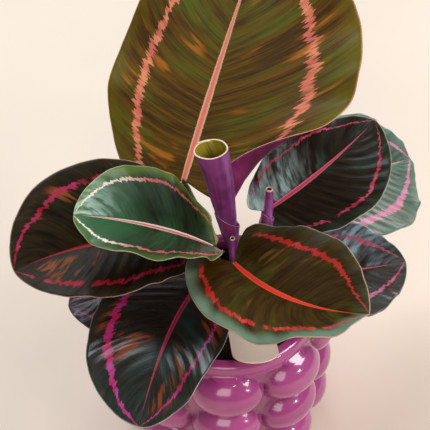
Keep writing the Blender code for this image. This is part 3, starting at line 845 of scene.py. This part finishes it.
def lay_out(piece, leaf, places):
    """Write the blade's map, its flat place and its ring distance on its points."""
    mesh = piece.data
    middle = RING_CENTRE * leaf.length
    margin = []
    samples = 400
    for hand in (-1, 1):
        for i in range(samples + 1):
            x, y = flat_point(leaf, i / samples, hand)
            margin.append((math.atan2(y, x - middle), math.hypot(x - middle, y)))
    margin.sort()
    angles = np.array([m[0] for m in margin])
    reaches = np.array([m[1] for m in margin])
    flat = np.array([flat_point(leaf, v, a) for a, v in places])
    from_middle = flat - np.array([middle, 0.0])
    turn = np.arctan2(from_middle[:, 1], from_middle[:, 0])
    ring = np.hypot(*from_middle.T) / np.interp(turn, angles, reaches, period=2 * math.pi)
    data = mesh.attributes.new("ring", "FLOAT", "POINT").data
    data.foreach_set("value", ring.astype(np.float32))
    lie = np.column_stack([flat, np.full(len(flat), leaf.seed * 0.1)])
    data = mesh.attributes.new("lie", "FLOAT_VECTOR", "POINT").data
    data.foreach_set("vector", lie.astype(np.float32).ravel())
    corners = np.empty(len(mesh.loops), np.int32)
    mesh.loops.foreach_get("vertex_index", corners)
    sheet = np.array([((a + 1) / 2, v) for a, v in places])[corners]
    mesh.uv_layers["blade"].uv.foreach_set("vector", sheet.astype(np.float32).ravel())


def blade(leaf, settings):
    """One blade: a ribbed sheet, thick at its midrib and thin at its margin."""
    places = []

    def place(u, v):
        spread = 2.0 * u - 1.0
        across = math.copysign(abs(spread) ** 1.15, spread)
        along = 0.996 * v
        places.append((across, along))
        return leaf_point(leaf, settings, along, across)

    piece = grid_sheet(leaf.name.replace("leaf_", "blade_"), 2 * settings.columns,
                       settings.rows, place, "blade")
    lay_out(piece, leaf, places)
    weights = piece.vertex_groups.new(name="thickness")
    thin = settings.edge_thickness / settings.rib_thickness
    for index, (across, along) in enumerate(places):
        rib = math.exp(-(across / 0.055) ** 2) * (1.0 - 0.85 * along)
        weights.add([index], thin + (1.0 - thin) * rib, "REPLACE")
    look = LOOKS[leaf.name]
    tag = leaf.name.replace("leaf_", "")
    for material in (leaf_top("blade_" + tag, look, leaf),
                     leaf_underside("underside_" + tag, look, leaf, settings),
                     leaf_margin("margin_" + tag, look)):
        piece.data.materials.append(material)
    thicken(piece, settings.rib_thickness, "thickness")
    smooth(piece)
    return settle(piece, look["slot"], leaf.name)


# ---------------------------------------------------------------------- stalks
def stalk_paint(settings):
    """Ribbed stem skin: tan and olive above, flushed purple near the foot."""
    paint = Paint("stalk_skin")
    where = paint.place()
    height = paint.node("SeparateXYZ", result="Z", Vector=where)
    along = paint.node("Mapping", Vector=where, Scale=(1.0, 1.0, 0.12))
    fibre = paint.noise(along, 900.0, 3.0)
    cloud = paint.noise(where, 120.0, 3.0)
    olive = (0.11, 0.10, 0.03)
    skin = paint.mix(cloud.ramp(0.35, 0.65), settings.stalk, olive)
    flush = (height + (cloud - 0.5) * 0.03).ramp(0.108, 0.088)
    skin = paint.mix(flush * 0.75, skin, (0.16, 0.02, 0.08))
    skin = paint.mix(fibre.ramp(0.55, 0.75) * 0.4, skin, (0.32, 0.19, 0.10))
    return paint.finish(skin, 0.42 + 0.15 * (cloud - 0.5), paint.bump(fibre, 0.0002, 0.6))


def stalk(leaf, material):
    """A round stalk from the soil to the underside of its blade."""
    tangent, _side, normal = leaf_frame(leaf, 0.0)
    top = Vector(leaf.base) - tangent * 0.0012 - normal * (leaf.stem_radius + 0.0004)
    foot = Vector((leaf.foot[0], leaf.foot[1], STEM_FOOT))
    middle = foot.lerp(top, 0.5) + Vector(leaf.stem_bow)
    knots = [foot] + smooth_path([foot + Vector((0, 0, 0.006)), middle, top], 12)
    start_piece()
    bpy.ops.curve.primitive_nurbs_path_add(location=(0, 0, 0))
    piece = bpy.context.object
    node = leaf.name.replace("leaf_", "stalk_")
    piece.name = leaf.name.replace("leaf_", "stem_")
    curve = piece.data
    curve.splines.clear()
    line = curve.splines.new("POLY")
    points = smooth_path(knots, 48)
    line.points.add(len(points) - 1)
    for index, spot in enumerate(points):
        share = index / (len(points) - 1)
        line.points[index].co = (*spot, 1.0)
        swelling = 0.16 * math.exp(-((share - 0.93) / 0.06) ** 2)
        line.points[index].radius = 1.15 - 0.3 * share + swelling
    curve.dimensions = "3D"
    curve.bevel_depth = leaf.stem_radius
    curve.bevel_resolution = 5
    curve.use_fill_caps = True
    only(piece)
    bpy.ops.object.convert(target="MESH")
    piece = bpy.context.object
    piece.data.materials.clear()
    piece.data.materials.append(material)
    merge(piece)
    smooth(piece, 60)
    return settle(piece, "stalk", node)


# ---------------------------------------------------------------------- shoots
ROLLED_LEAF = Path([
    (0.005, 0.005, STEM_FOOT), (0.005, 0.005, 0.100), (0.003, 0.004, 0.119),
    (0.001, 0.002, 0.132), (-0.001, 0.001, 0.146), (-0.003, 0.000, 0.159),
    (-0.005, -0.001, 0.173), (-0.008, -0.001, 0.186)],
    [0.0014, 0.0015, 0.0020, 0.0035, 0.0050, 0.0060, 0.0068, 0.0078])
SMALL_SHOOT = Path([
    (0.013, 0.006, STEM_FOOT), (0.015, 0.007, 0.105), (0.018, 0.008, 0.130),
    (0.019, 0.009, 0.142), (0.019, 0.010, 0.153)],
    [0.0014, 0.0016, 0.0024, 0.0023, 0.0018])
TINY_SHOOT = Path([
    (0.002, -0.002, STEM_FOOT), (0.002, -0.003, 0.100), (0.002, -0.005, 0.118),
    (0.002, -0.006, 0.137)],
    [0.0010, 0.0011, 0.0013, 0.0012])


def rolled(name, path, turns, start, end, lean, columns=72, rows=110, grow=0.0,
           spiral=0.10, twist=1.6):
    """A sheet rolled into a tube round a path, one edge lapping over the other."""

    def place(u, v):
        share = start + (end - start) * v
        angle = 2.0 * math.pi * turns * u + twist * v
        centre, axis, side, up = path.at(share)
        lap = 1.0 - spiral + spiral * u
        edge = 1.0 + 0.03 * math.exp(-((1.0 - u) / 0.03) ** 2)
        size = (path.radius(share) + grow) * lap * edge
        ripple = 1.0 + 0.012 * math.sin(5 * angle + 9 * v)
        return (centre + (side * math.cos(angle) + up * math.sin(angle)) * size * ripple
                + axis * lean * v ** 4 * math.cos(angle + 2.6))

    return grid_sheet(name, columns, rows, place)


def shoot_skin(name, settings, seed, tone=1.0):
    """Purple skin with brighter streaks along it; tone scales its colour, and at 0.6 it is the
    painted shade of a sheath's inner face.
    """
    paint = Paint(name)
    u, v = paint.sheet()
    fibre = paint.noise(paint.combine(u * 26.0 + v * 3.0, v * 2.0, seed), 1.0, 4.0, 0.6)
    band = paint.noise(paint.combine(u * 7.0 + v * 2.5, v * 1.4, seed + 5), 1.0, 2.0)
    cloud = paint.noise(paint.place(), 160.0, 3.0)
    skin = dimmed(settings.skin, tone)
    deep = dimmed(skin, 0.45)
    pale = tuple(min(c * 1.6 + 0.06, 1.0) for c in skin)
    tint = paint.mix((fibre * 0.5 + cloud * 0.5).ramp(0.36, 0.62), deep, skin)
    tint = paint.mix(band.ramp(0.56, 0.68) * 0.55, tint, pale)
    tint = paint.mix((band * 0.6 + fibre * 0.4).ramp(0.46, 0.36) * 0.8, tint, settings.streak)
    return paint.finish(tint, 0.34 + 0.15 * (cloud - 0.5),
                        paint.bump(fibre, 0.00025, 0.6), Coat_Weight=0.10, Coat_Roughness=0.2)


def shoot_inside(name, settings, seed):
    """The inside of a roll: yellow-green, with painted shade darkening it further down."""
    paint = Paint(name)
    u, v = paint.sheet()
    fibre = paint.noise(paint.combine(u * 40.0, v * 3.0, seed), 1.0, 3.0)
    # painted shade: a near-black brown that fills the roll below its mouth
    deep = paint.mix(fibre, (0.020, 0.008, 0.004), (0.05, 0.02, 0.008))
    skin = paint.mix(fibre.ramp(0.35, 0.65), dimmed(settings.inside, 0.6),
                     settings.inside)
    skin = paint.mix((v + (fibre - 0.5) * 0.05).ramp(0.84, 0.96), deep, skin)
    return paint.finish(skin, 0.45, paint.bump(fibre, 0.0002, 0.5))


def plain_edge(name, colour):
    """The cut edge of a roll or sheath; also the painted shade in a shoot's dimple."""
    paint = Paint(name)
    fleck = paint.noise(paint.place(), 700.0, 2.0)
    skin = paint.mix(fleck.ramp(0.3, 0.7), dimmed(colour, 0.75), colour)
    return paint.finish(skin, 0.5 + 0.1 * (fleck - 0.5))


def finish_roll(piece, wall, materials, slot, *nodes):
    """Thicken a roll inwards, shade it and put it in place."""
    for material in materials:
        piece.data.materials.append(material)
    thicken(piece, wall)
    smooth(piece, 70)
    return settle(piece, slot, *nodes)


def rounded_shoot(name, path, settings, seed, tone):
    """A closed shoot with an open dimple at its tip."""
    def place(u, v):
        angle = 2.0 * math.pi * u
        body = min(v / 0.90, 1.0)
        centre, axis, side, up = path.at(body)
        size = path.radius(body)
        if v > 0.90:                       # over the rim and down into the dimple
            dip = (v - 0.90) / 0.10
            size *= 1.0 - 0.42 * min(dip * 2.0, 1.0)
            drop = 0.0 if dip < 0.5 else (dip - 0.5) * 2.0
            centre = centre - axis * 0.0022 * drop
            if dip > 0.95:
                size = 0.0
            if 0.1 < dip < 0.4:
                centre = centre + axis * 0.0003
        if v == 0.0:
            size = 0.0
        return centre + (side * math.cos(angle) + up * math.sin(angle)) * size

    piece = grid_sheet("young_" + name, 32, 120, place, wrap=True)
    piece.data.materials.append(shoot_skin("skin_" + name, settings, seed, tone))
    piece.data.materials.append(plain_edge("tip_" + name, settings.rim))
    # painted shade: a dark brown colour for the open dimple at the tip
    piece.data.materials.append(plain_edge("dimple_" + name, (0.10, 0.03, 0.01)))
    tip, axis = path.at(1.0)[:2]
    for face in piece.data.polygons:
        height = (face.center - tip).dot(axis)
        inward = (face.center - tip - axis * height).length / path.radius(1.0)
        if height > -0.0010 and (face.normal.dot(axis) > 0.5 or height > -0.0004):
            face.material_index = 1
        # faces down in the dimple take the painted shade
        if inward < 0.62 and height < 0.0001 and height > -0.004:
            face.material_index = 2
    face_outwards(piece)
    smooth(piece, 60)
    return settle(piece, "purple_shoot", name)


# ------------------------------------------------------------------------ pots
def dome_height(settings, radius, z, angle):
    """How far the cover pot's wall stands out in its rows of domes, from 0 to 1."""
    low = POT_FOOT_HEIGHT
    high = settings.height - POT_LIP_HEIGHT
    if radius < settings.body_radius - 1e-6 or z <= low or z >= high:
        return 0.0
    column = angle / (2.0 * math.pi) * settings.bump_columns
    u = (column - round(column)) * 2.0
    row = (high - z) / (high - low) * settings.bump_rows
    v = (row - math.floor(row)) * 2.0 - 1.0
    return max(1.0 - u * u - v * v, 0.0) ** 0.6


def glaze_paint(settings):
    """Glossy glaze, with painted shade: deeper in colour in the creases, round the foot and
    inside the pot.
    """
    paint = Paint("pot_glaze")
    where = paint.place()
    dome = paint.told("dome")
    runs = paint.noise(paint.node("Mapping", Vector=where, Scale=(1.0, 1.0, 0.35)), 70.0, 3.0)
    cloud = paint.noise(where, 30.0, 3.0)
    peel = paint.noise(where, 260.0, 2.0)
    speck = paint.noise(where, 1500.0, 1.0)
    # painted shade: the deep colour fills the creases between domes, the foot band and the inside
    # of the pot
    thick = (dome + (runs - 0.5) * 0.25).ramp(0.42, 0.0)
    glaze = paint.mix((cloud * 0.6 + runs * 0.4).ramp(0.35, 0.65), settings.glaze,
                      tuple(min(c * 1.22 + 0.02, 1.0) for c in settings.glaze))
    glaze = paint.mix(thick * 0.55, glaze, settings.glaze_deep)
    glaze = paint.mix(speck.ramp(0.74, 0.80) * 0.35, glaze, settings.glaze_deep)
    height = peel * 0.6 + runs * 0.8
    return paint.finish(glaze, 0.20 + 0.08 * (cloud - 0.5), paint.bump(height, 0.00035, 0.35),
                        Coat_Weight=0.9, Coat_Roughness=0.05, Specular_IOR_Level=0.5)


def foot_paint():
    """The bare fired clay of the pot's foot ring."""
    paint = Paint("bare_clay")
    where = paint.place()
    grit = paint.noise(where, 1200.0, 4.0, 0.7)
    cloud = paint.noise(where, 60.0, 3.0)
    clay = paint.mix(grit.ramp(0.35, 0.65), (0.50, 0.40, 0.33), (0.68, 0.58, 0.48))
    clay = paint.mix(cloud.ramp(0.5, 0.8) * 0.3, clay, (0.42, 0.30, 0.24))
    return paint.finish(clay, 0.85, paint.bump(grit, 0.0003, 0.7))


def build_cover_pot(settings):
    """The glazed cover pot."""
    low = POT_FOOT_HEIGHT
    top = settings.height
    high = top - POT_LIP_HEIGHT
    body = settings.body_radius
    lip = settings.lip_radius
    thick = lip - settings.mouth_radius
    profile = [(0.0, POT_FOOT_BASE), (body - 0.0090, POT_FOOT_BASE), (body - 0.0080, 0.0012),
               (body - 0.0074, 0.0), (body - 0.0040, 0.0), (body - 0.0030, 0.0004),
               (body - 0.0020, 0.0016), (body - 0.0010, low - 0.001)]
    rows = 26 * settings.bump_rows
    profile += [(body, low + (high - low) * i / rows) for i in range(rows + 1)]
    profile.append((lip + 0.0003, high + 0.0006))
    for i in range(15):                                   # the rounded lip
        angle = math.pi * i / 14
        out = math.cos(angle)
        profile.append((lip - 0.5 * thick + 0.5 * thick * math.copysign(abs(out) ** 0.8, out),
                        top - 0.0030 + 0.0030 * math.sin(angle) ** 0.9))
    mouth = settings.mouth_radius
    profile += [(mouth, high), (mouth + 0.0008, high - 0.0015), (mouth + 0.0015, high - 0.003),
                (mouth + 0.0013, 0.050), (mouth + 0.0010, 0.010), (mouth + 0.0002, 0.0078),
                (mouth - 0.0012, 0.0065), (mouth - 0.0030, POT_FLOOR), (0.0, POT_FLOOR)]
    piece = spin_profile("glazed_cover_pot", profile, 24 * settings.bump_columns)
    mesh = piece.data
    domes = np.zeros(len(mesh.vertices), np.float32)
    for index, vert in enumerate(mesh.vertices):
        radius = math.hypot(vert.co.x, vert.co.y)
        angle = math.atan2(vert.co.x, -vert.co.y) % (2.0 * math.pi)
        domes[index] = dome_height(settings, radius, vert.co.z, angle)
        if domes[index] > 0.0:
            scale = 1.0 + settings.bump_height * domes[index] / radius
            vert.co.x *= scale
            vert.co.y *= scale
        if radius < mouth + 0.003 and vert.co.z < high:
            domes[index] = 0.10                           # painted shade inside the pot
        elif vert.co.z >= high:
            domes[index] = 0.55
    mesh.attributes.new("dome", "FLOAT", "POINT").data.foreach_set("value", domes)
    mesh.materials.append(glaze_paint(settings))
    mesh.materials.append(foot_paint())
    for face in mesh.polygons:
        if face.center.z < 0.0014 and face.normal.z < -0.3:
            face.material_index = 1
    smooth(piece, 60)
    return settle(piece, "glaze", "cover_pot")


def plastic_paint():
    """Black moulded plastic, dusted with soil."""
    paint = Paint("nursery_plastic")
    where = paint.place()
    fine = paint.noise(where, 2500.0, 2.0)
    dust = paint.noise(where, 180.0, 4.0, 0.65)
    skin = paint.mix(dust.ramp(0.55, 0.80) * 0.5, (0.012, 0.012, 0.013), (0.07, 0.05, 0.035))
    return paint.finish(skin, 0.42 + 0.35 * (dust - 0.5), paint.bump(fine, 0.00008, 0.5))


def build_nursery_pot():
    """The thin plastic pot with a rim band and drain holes."""
    base, wall, foot = NURSERY_BASE, NURSERY_WALL, NURSERY_FOOT_RADIUS
    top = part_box("nursery_pot")[1].z
    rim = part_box("nursery_pot")[1].x
    neck = rim - 0.0012
    step = top - 0.008
    profile = [(0.0, base), (foot - 0.001, base), (foot, base + 0.0006),
               (foot + (neck - foot) * 0.5, base + (step - base) * 0.5), (neck, step),
               (rim - 0.0003, step), (rim, step + 0.0004), (rim, top - 0.0008),
               (rim - 0.0002, top - 0.0002), (rim - 0.0008, top), (neck - wall + 0.0003, top),
               (neck - wall, top - 0.0004), (neck - wall, step),
               (foot - wall, base + wall), (0.0, base + wall)]
    piece = spin_profile("plastic_nursery_pot", profile, 128)
    start_piece()
    drills = []
    for index in range(DRAIN_HOLES):
        angle = 2.0 * math.pi * index / DRAIN_HOLES
        bpy.ops.mesh.primitive_cylinder_add(
            vertices=32, radius=DRAIN_RADIUS, depth=0.006,
            location=(DRAIN_RING * math.cos(angle), DRAIN_RING * math.sin(angle), base))
        drills.append(bpy.context.object)
    drill = join(drills)
    holes = piece.modifiers.new("drain_holes", "BOOLEAN")
    holes.operation = "DIFFERENCE"
    holes.solver = "EXACT"
    holes.object = drill
    piece.data.materials.append(plastic_paint())
    apply_modifiers(piece)
    bpy.data.objects.remove(drill)
    smooth(piece, 35)
    return settle(piece, "black_plastic", "nursery_pot")


def soil_paint():
    """Dark crumbly potting soil."""
    paint = Paint("soil_crumb")
    where = paint.place()
    crumb = paint.noise(where, 700.0, 5.0, 0.7)
    lump = paint.noise(where, 190.0, 3.0, 0.6)
    cells = paint.node("TexVoronoi", {"feature": "F1"}, Vector=where, Scale=520.0)
    skin = paint.mix(crumb.ramp(0.35, 0.68), (0.012, 0.007, 0.005), (0.055, 0.032, 0.018))
    skin = paint.mix(lump.ramp(0.55, 0.75) * 0.6, skin, (0.09, 0.05, 0.028))
    height = crumb * 0.8 + lump + cells * 0.6
    return paint.finish(skin, 0.88, paint.bump(height, 0.0012, 0.9))


def chip_paint(name, dark, pale):
    """Bark or perlite, for the pieces strewn on the soil."""
    paint = Paint(name)
    where = paint.place()
    grain = paint.noise(where, 900.0, 4.0, 0.65)
    skin = paint.mix(grain.ramp(0.3, 0.7), dark, pale)
    return paint.finish(skin, 0.8, paint.bump(grain, 0.0005, 0.8))


def build_soil():
    """The root ball with its uneven top."""
    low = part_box("potting_soil")[0].z
    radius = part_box("potting_soil")[1].x
    foot = SOIL_FOOT_RADIUS
    profile = [(0.0, low), (foot - 0.001, low), (foot, low + 0.001),
               (radius - 0.0004, 0.0760), (radius - 0.0012, 0.0780)]
    rings = 30
    profile += [((radius - 0.0016) * (1 - i / rings), SOIL_LEVEL - 0.0004)
                for i in range(rings + 1)]
    piece = spin_profile("soil_ball", profile, 120)
    for vert in piece.data.vertices:
        if vert.co.z > SOIL_SHOULDER:
            rough = noise.fractal(vert.co * 260.0, 0.9, 2.1, 4)
            vert.co.z = min(vert.co.z + 0.0004 + 0.0007 * rough, SOIL_LEVEL + 0.0008)
    piece.data.materials.append(soil_paint())
    smooth(piece, 80)
    return settle(piece, "soil", "potting_soil")


def stems_near(x, y, clearance):
    """True where a stalk or shoot stands."""
    feet = [(*leaf.foot, leaf.stem_radius) for leaf in LEAVES]
    for path in (ROLLED_LEAF, SMALL_SHOOT, TINY_SHOOT):
        feet.append((path.points[0].x, path.points[0].y, path.radii[0]))
    return any(math.hypot(x - a, y - b) < r + clearance for a, b, r in feet)


def build_soil_chips():
    """Bark chips and perlite grains strewn on the soil, in one piece."""
    rng = random.Random(11)
    chips = []
    kinds = (("bark_chip", 64, (0.0016, 0.0034), (1.0, 0.55, 0.34), 0),
             ("perlite_grain", 30, (0.0008, 0.0015), (1.0, 0.9, 0.8), 1))
    materials = (chip_paint("bark", (0.03, 0.014, 0.008), (0.14, 0.07, 0.035)),
                 chip_paint("perlite", (0.48, 0.46, 0.42), (0.78, 0.76, 0.72)))
    for name, number, sizes, shape, slot in kinds:
        start_piece()
        bpy.ops.mesh.primitive_ico_sphere_add(subdivisions=2, radius=1.0, location=(0, 0, 0))
        first = bpy.context.object
        first.name = name
        for vert in first.data.vertices:
            vert.co *= 1.0 + 0.35 * noise.noise(vert.co * 1.3 + Vector((slot * 5.0, 0, 0)))
        for _ in range(number):
            size = rng.uniform(*sizes) / 2
            spread = CHIP_SPREAD * math.sqrt(rng.random())
            angle = rng.uniform(0, 2 * math.pi)
            x, y = spread * math.cos(angle), spread * math.sin(angle)
            turn = [rng.uniform(0, math.pi) for _ in range(3)]
            if stems_near(x, y, size + 0.0006):
                continue
            only(first)
            bpy.ops.object.duplicate(linked=False)
            chip = bpy.context.object
            chip.scale = [size * k * rng.uniform(0.8, 1.25) for k in shape]
            chip.rotation_euler = (turn[0] * 0.2, turn[1] * 0.2, turn[2])
            chip.location = (x, y, SOIL_LEVEL + size * 0.16)
            chip.data.materials.append(materials[slot])
            chips.append(chip)
        bpy.data.objects.remove(first)
    piece = join(chips)
    piece.name = piece.data.name = "soil_chips"
    smooth(piece, 50)
    return settle(piece, "soil")


def build_label(settings):
    """The blank card with its rounded ends, leaning over the rim."""
    thick = LABEL_THICKNESS
    half = LABEL_WIDTH / 2
    slope, turn = math.radians(LABEL_SLOPE), math.radians(LABEL_TURN)
    tail = LABEL_LENGTH - 1.25 * half
    near, far = -0.8 * half, tail + 0.45 * half

    def place(u, v):
        y = near + (far - near) * (0.5 - 0.5 * math.cos(math.pi * v))
        if y < 0:
            reach = math.sqrt(max(1.0 - (y / near) ** 2, 0.0))
        else:
            reach = 1.0 if y < tail else math.sqrt(
                max(1.0 - ((y - tail) / (0.45 * half)) ** 2, 0.0))
        x = (2.0 * u - 1.0) * half * reach
        bow = 0.0006 * (1.0 - (x / half) ** 2) * math.sin(math.pi * v)
        return Vector((x, y, thick + bow * 0.4))

    piece = grid_sheet("card_label", 24, 60, place, wrap=True)
    paint = Paint("blank_card")
    where = paint.place()
    fibre = paint.noise(where, 1400.0, 4.0, 0.65)
    cloud = paint.noise(where, 90.0, 3.0)
    skin = paint.mix(fibre.ramp(0.35, 0.65), dimmed(settings.card, 0.93),
                     settings.card)
    skin = paint.mix(cloud.ramp(0.55, 0.8) * 0.25, skin, (0.62, 0.50, 0.38))
    piece.data.materials.append(
        paint.finish(skin, 0.72 + 0.1 * (fibre - 0.5), paint.bump(fibre, 0.0001, 0.5)))
    face_outwards(piece)
    shell = piece.modifiers.new("thickness", "SOLIDIFY")
    shell.thickness = thick
    shell.offset = -1.0
    apply_modifiers(piece)
    piece.rotation_euler = (-slope, 0.0, turn)
    piece.location = Vector(LABEL_END) + Vector((0.0, 0.8 * half, -0.8 * half * math.tan(0.36)))
    smooth(piece, 35)
    return settle(piece, "card", "plant_label")


# ------------------------------------------------------------------- operators
class CALATHEA_OT_blades(bpy.types.Operator):
    """Build the nine leaf blades with their painted patterns."""

    bl_idname = "calathea.blades"
    bl_label = "Leaf blades"

    def execute(self, context):
        for leaf in LEAVES:
            blade(leaf, context.scene.calathea_leaves)
        return {"FINISHED"}


class CALATHEA_OT_stalks(bpy.types.Operator):
    """Build the nine leaf stalks."""

    bl_idname = "calathea.stalks"
    bl_label = "Leaf stalks"

    def execute(self, context):
        material = stalk_paint(context.scene.calathea_leaves)
        for leaf in LEAVES:
            stalk(leaf, material)
        return {"FINISHED"}


class CALATHEA_OT_rolled_leaf(bpy.types.Operator):
    """Build the new leaf, still rolled up, and the sheath it comes out of."""

    bl_idname = "calathea.rolled_leaf"
    bl_label = "Rolled leaf"

    def execute(self, context):
        settings = context.scene.calathea_shoots
        roll = rolled("rolled_blade", ROLLED_LEAF, 1.12, 0.0, 1.0, 0.0012)
        finish_roll(roll, ROLL_WALL,
                    (shoot_skin("rolled_leaf_skin", settings, 3.0),
                     shoot_inside("rolled_leaf_inside", settings, 7.0),
                     plain_edge("rolled_leaf_rim", settings.rim)),
                    "purple_shoot", "rolled_leaf")
        sheath = rolled("rolled_blade_sheath", ROLLED_LEAF, 1.04, 2 / 21, 11.2 / 21, 0.006,
                        rows=70, grow=0.0007, spiral=0.04, twist=0.5)
        finish_roll(sheath, ROLL_SHEATH_WALL,
                    (shoot_skin("sheath_skin", settings, 9.0, 0.85),
                     # the inner face is the skin at 0.6 tone: painted shade inside the sheath
                     shoot_skin("sheath_inside", settings, 12.0, 0.6),
                     plain_edge("sheath_rim", SHEATH_RIM)),
                    "purple_shoot", "rolled_leaf_sheath")
        return {"FINISHED"}


class CALATHEA_OT_shoots(bpy.types.Operator):
    """Build the two young shoots and the sheath of the taller one."""

    bl_idname = "calathea.shoots"
    bl_label = "Young shoots"

    def execute(self, context):
        settings = context.scene.calathea_shoots
        rounded_shoot("small_shoot", SMALL_SHOOT, settings, 21.0, 1.25)
        rounded_shoot("tiny_shoot", TINY_SHOOT, settings, 27.0, 1.1)
        sheath = rolled("young_shoot_sheath", SMALL_SHOOT, 1.05, 1 / 12, 7.8 / 12, 0.002,
                        rows=50, grow=0.0010, spiral=0.06, twist=0.3)
        finish_roll(sheath, SHOOT_SHEATH_WALL,
                    (shoot_skin("small_sheath_skin", settings, 31.0, 1.0),
                     # the inner face is the skin at 0.6 tone: painted shade inside the sheath
                     shoot_skin("small_sheath_inside", settings, 33.0, 0.6),
                     plain_edge("small_sheath_rim", SHEATH_RIM)),
                    "purple_shoot", "small_shoot_sheath")
        return {"FINISHED"}


class CALATHEA_OT_cover_pot(bpy.types.Operator):
    """Build the glazed cover pot with its domes."""

    bl_idname = "calathea.cover_pot"
    bl_label = "Cover pot"

    def execute(self, context):
        build_cover_pot(context.scene.calathea_pot)
        return {"FINISHED"}


class CALATHEA_OT_nursery_pot(bpy.types.Operator):
    """Build the plastic nursery pot."""

    bl_idname = "calathea.nursery_pot"
    bl_label = "Nursery pot"

    def execute(self, context):
        build_nursery_pot()
        return {"FINISHED"}


class CALATHEA_OT_soil(bpy.types.Operator):
    """Build the soil with its bark chips and perlite."""

    bl_idname = "calathea.soil"
    bl_label = "Potting soil"

    def execute(self, context):
        build_soil()
        build_soil_chips()
        return {"FINISHED"}


class CALATHEA_OT_label(bpy.types.Operator):
    """Build the blank card label."""

    bl_idname = "calathea.label"
    bl_label = "Plant label"

    def execute(self, context):
        build_label(context.scene.calathea_pot)
        return {"FINISHED"}


class CALATHEA_OT_stage(bpy.types.Operator):
    """Lay the floor, hang the lights and place the camera."""

    bl_idname = "calathea.stage"
    bl_label = "Stage"

    def execute(self, context):
        settings = context.scene.calathea_stage
        start_piece()
        bpy.ops.mesh.primitive_plane_add(size=6.0, location=(0.0, 0.0, -0.0002))
        floor = context.object
        floor.name = "floor"
        paint = Paint("floor_board")
        where = paint.place()
        cloud = paint.noise(where, 6.0, 3.0)
        shade = paint.mix(cloud.ramp(0.2, 0.8), dimmed(settings.floor, 0.95),
                          settings.floor)
        floor.data.materials.append(paint.finish(shade, 0.6))

        world = bpy.data.worlds.new("studio")
        context.scene.world = world
        world.use_nodes = True
        back = world.node_tree.nodes["Background"]
        back.inputs["Color"].default_value = (0.93, 0.96, 1.0, 1.0)
        back.inputs["Strength"].default_value = settings.sky

        # direction from +Y towards +X and height in degrees, distance, size, power, tint
        lamps = (("back_window", -28.0, 52.0, 1.3, (0.8, 0.5), 13.0, (0.84, 0.93, 1.0)),
                 ("right_window", 95.0, 45.0, 1.3, (0.5, 0.5), 8.0, (0.95, 0.97, 1.0)),
                 ("right_pane", 122.0, 22.0, 1.3, (0.13, 0.15), 1.6, (1.0, 1.0, 1.0)),
                 ("high_pane", 150.0, 62.0, 1.3, (0.10, 0.10), 0.7, (1.0, 1.0, 1.0)),
                 ("front_fill", 190.0, 35.0, 1.6, (0.9, 0.9), 8.0, (1.0, 0.93, 0.86)),
                 ("low_rim", 35.0, 18.0, 1.4, (0.5, 0.35), 4.0, (1.0, 0.95, 0.88)))
        aim = Vector(LIGHTS_AIM)
        for name, azimuth, height, distance, size, power, tint in lamps:
            a, e = math.radians(azimuth), math.radians(height)
            toward = Vector((math.sin(a) * math.cos(e), math.cos(a) * math.cos(e),
                             math.sin(e)))
            light = bpy.data.lights.new(name, "AREA")
            light.shape = "RECTANGLE"
            light.size, light.size_y = size
            light.energy = power * settings.window
            light.color = tint
            lamp = bpy.data.objects.new(name, light)
            lamp.location = aim + toward * distance
            lamp.rotation_euler = (-toward).to_track_quat("-Z", "Y").to_euler()
            lamp.visible_camera = False
            context.scene.collection.objects.link(lamp)

        lens = bpy.data.cameras.new("view")
        lens.sensor_width = CAMERA_SENSOR
        lens.lens = CAMERA_LENS
        lens.clip_start, lens.clip_end = 0.01, 20.0
        lens.dof.use_dof = False
        camera = bpy.data.objects.new("view", lens)
        camera.location = CAMERA_PLACE
        camera.rotation_euler = (math.radians(90.0 - CAMERA_LOOKS_DOWN), 0.0, 0.0)
        context.scene.collection.objects.link(camera)
        context.scene.camera = camera
        context.scene.view_settings.view_transform = "Standard"
        return {"FINISHED"}


class CALATHEA_PT_build(bpy.types.Panel):
    """The sidebar panel that lists the settings and the build steps."""

    bl_label = "Potted calathea"
    bl_idname = "CALATHEA_PT_build"
    bl_space_type = "VIEW_3D"
    bl_region_type = "UI"
    bl_category = "Calathea"

    def draw(self, context):
        scene = context.scene
        for title, settings in (("Leaves", scene.calathea_leaves),
                                ("Shoots", scene.calathea_shoots),
                                ("Pots and label", scene.calathea_pot),
                                ("Stage", scene.calathea_stage)):
            box = self.layout.box()
            box.label(text=title)
            for key in settings.__annotations__:
                box.prop(settings, key)
        for operator in STEPS:
            self.layout.operator(operator.bl_idname)


STEPS = (CALATHEA_OT_stage, CALATHEA_OT_cover_pot, CALATHEA_OT_nursery_pot,
         CALATHEA_OT_soil, CALATHEA_OT_label, CALATHEA_OT_stalks, CALATHEA_OT_blades,
         CALATHEA_OT_rolled_leaf, CALATHEA_OT_shoots)
SETTINGS = (("calathea_leaves", CalatheaLeafSettings), ("calathea_shoots", CalatheaShootSettings),
            ("calathea_pot", CalatheaPotSettings), ("calathea_stage", CalatheaStageSettings))


def register():
    for name, group in SETTINGS:
        bpy.utils.register_class(group)
        setattr(bpy.types.Scene, name, PointerProperty(type=group))
    for kind in (*STEPS, CALATHEA_PT_build):
        bpy.utils.register_class(kind)


def unregister():
    for kind in (CALATHEA_PT_build, *reversed(STEPS)):
        bpy.utils.unregister_class(kind)
    for name, group in reversed(SETTINGS):
        delattr(bpy.types.Scene, name)
        bpy.utils.unregister_class(group)


def main():
    """Build every piece in order."""
    register()
    bpy.ops.calathea.stage()
    bpy.ops.calathea.cover_pot()
    bpy.ops.calathea.nursery_pot()
    bpy.ops.calathea.soil()
    bpy.ops.calathea.label()
    bpy.ops.calathea.stalks()
    bpy.ops.calathea.blades()
    bpy.ops.calathea.rolled_leaf()
    bpy.ops.calathea.shoots()


if __name__ == "__main__":
    main()
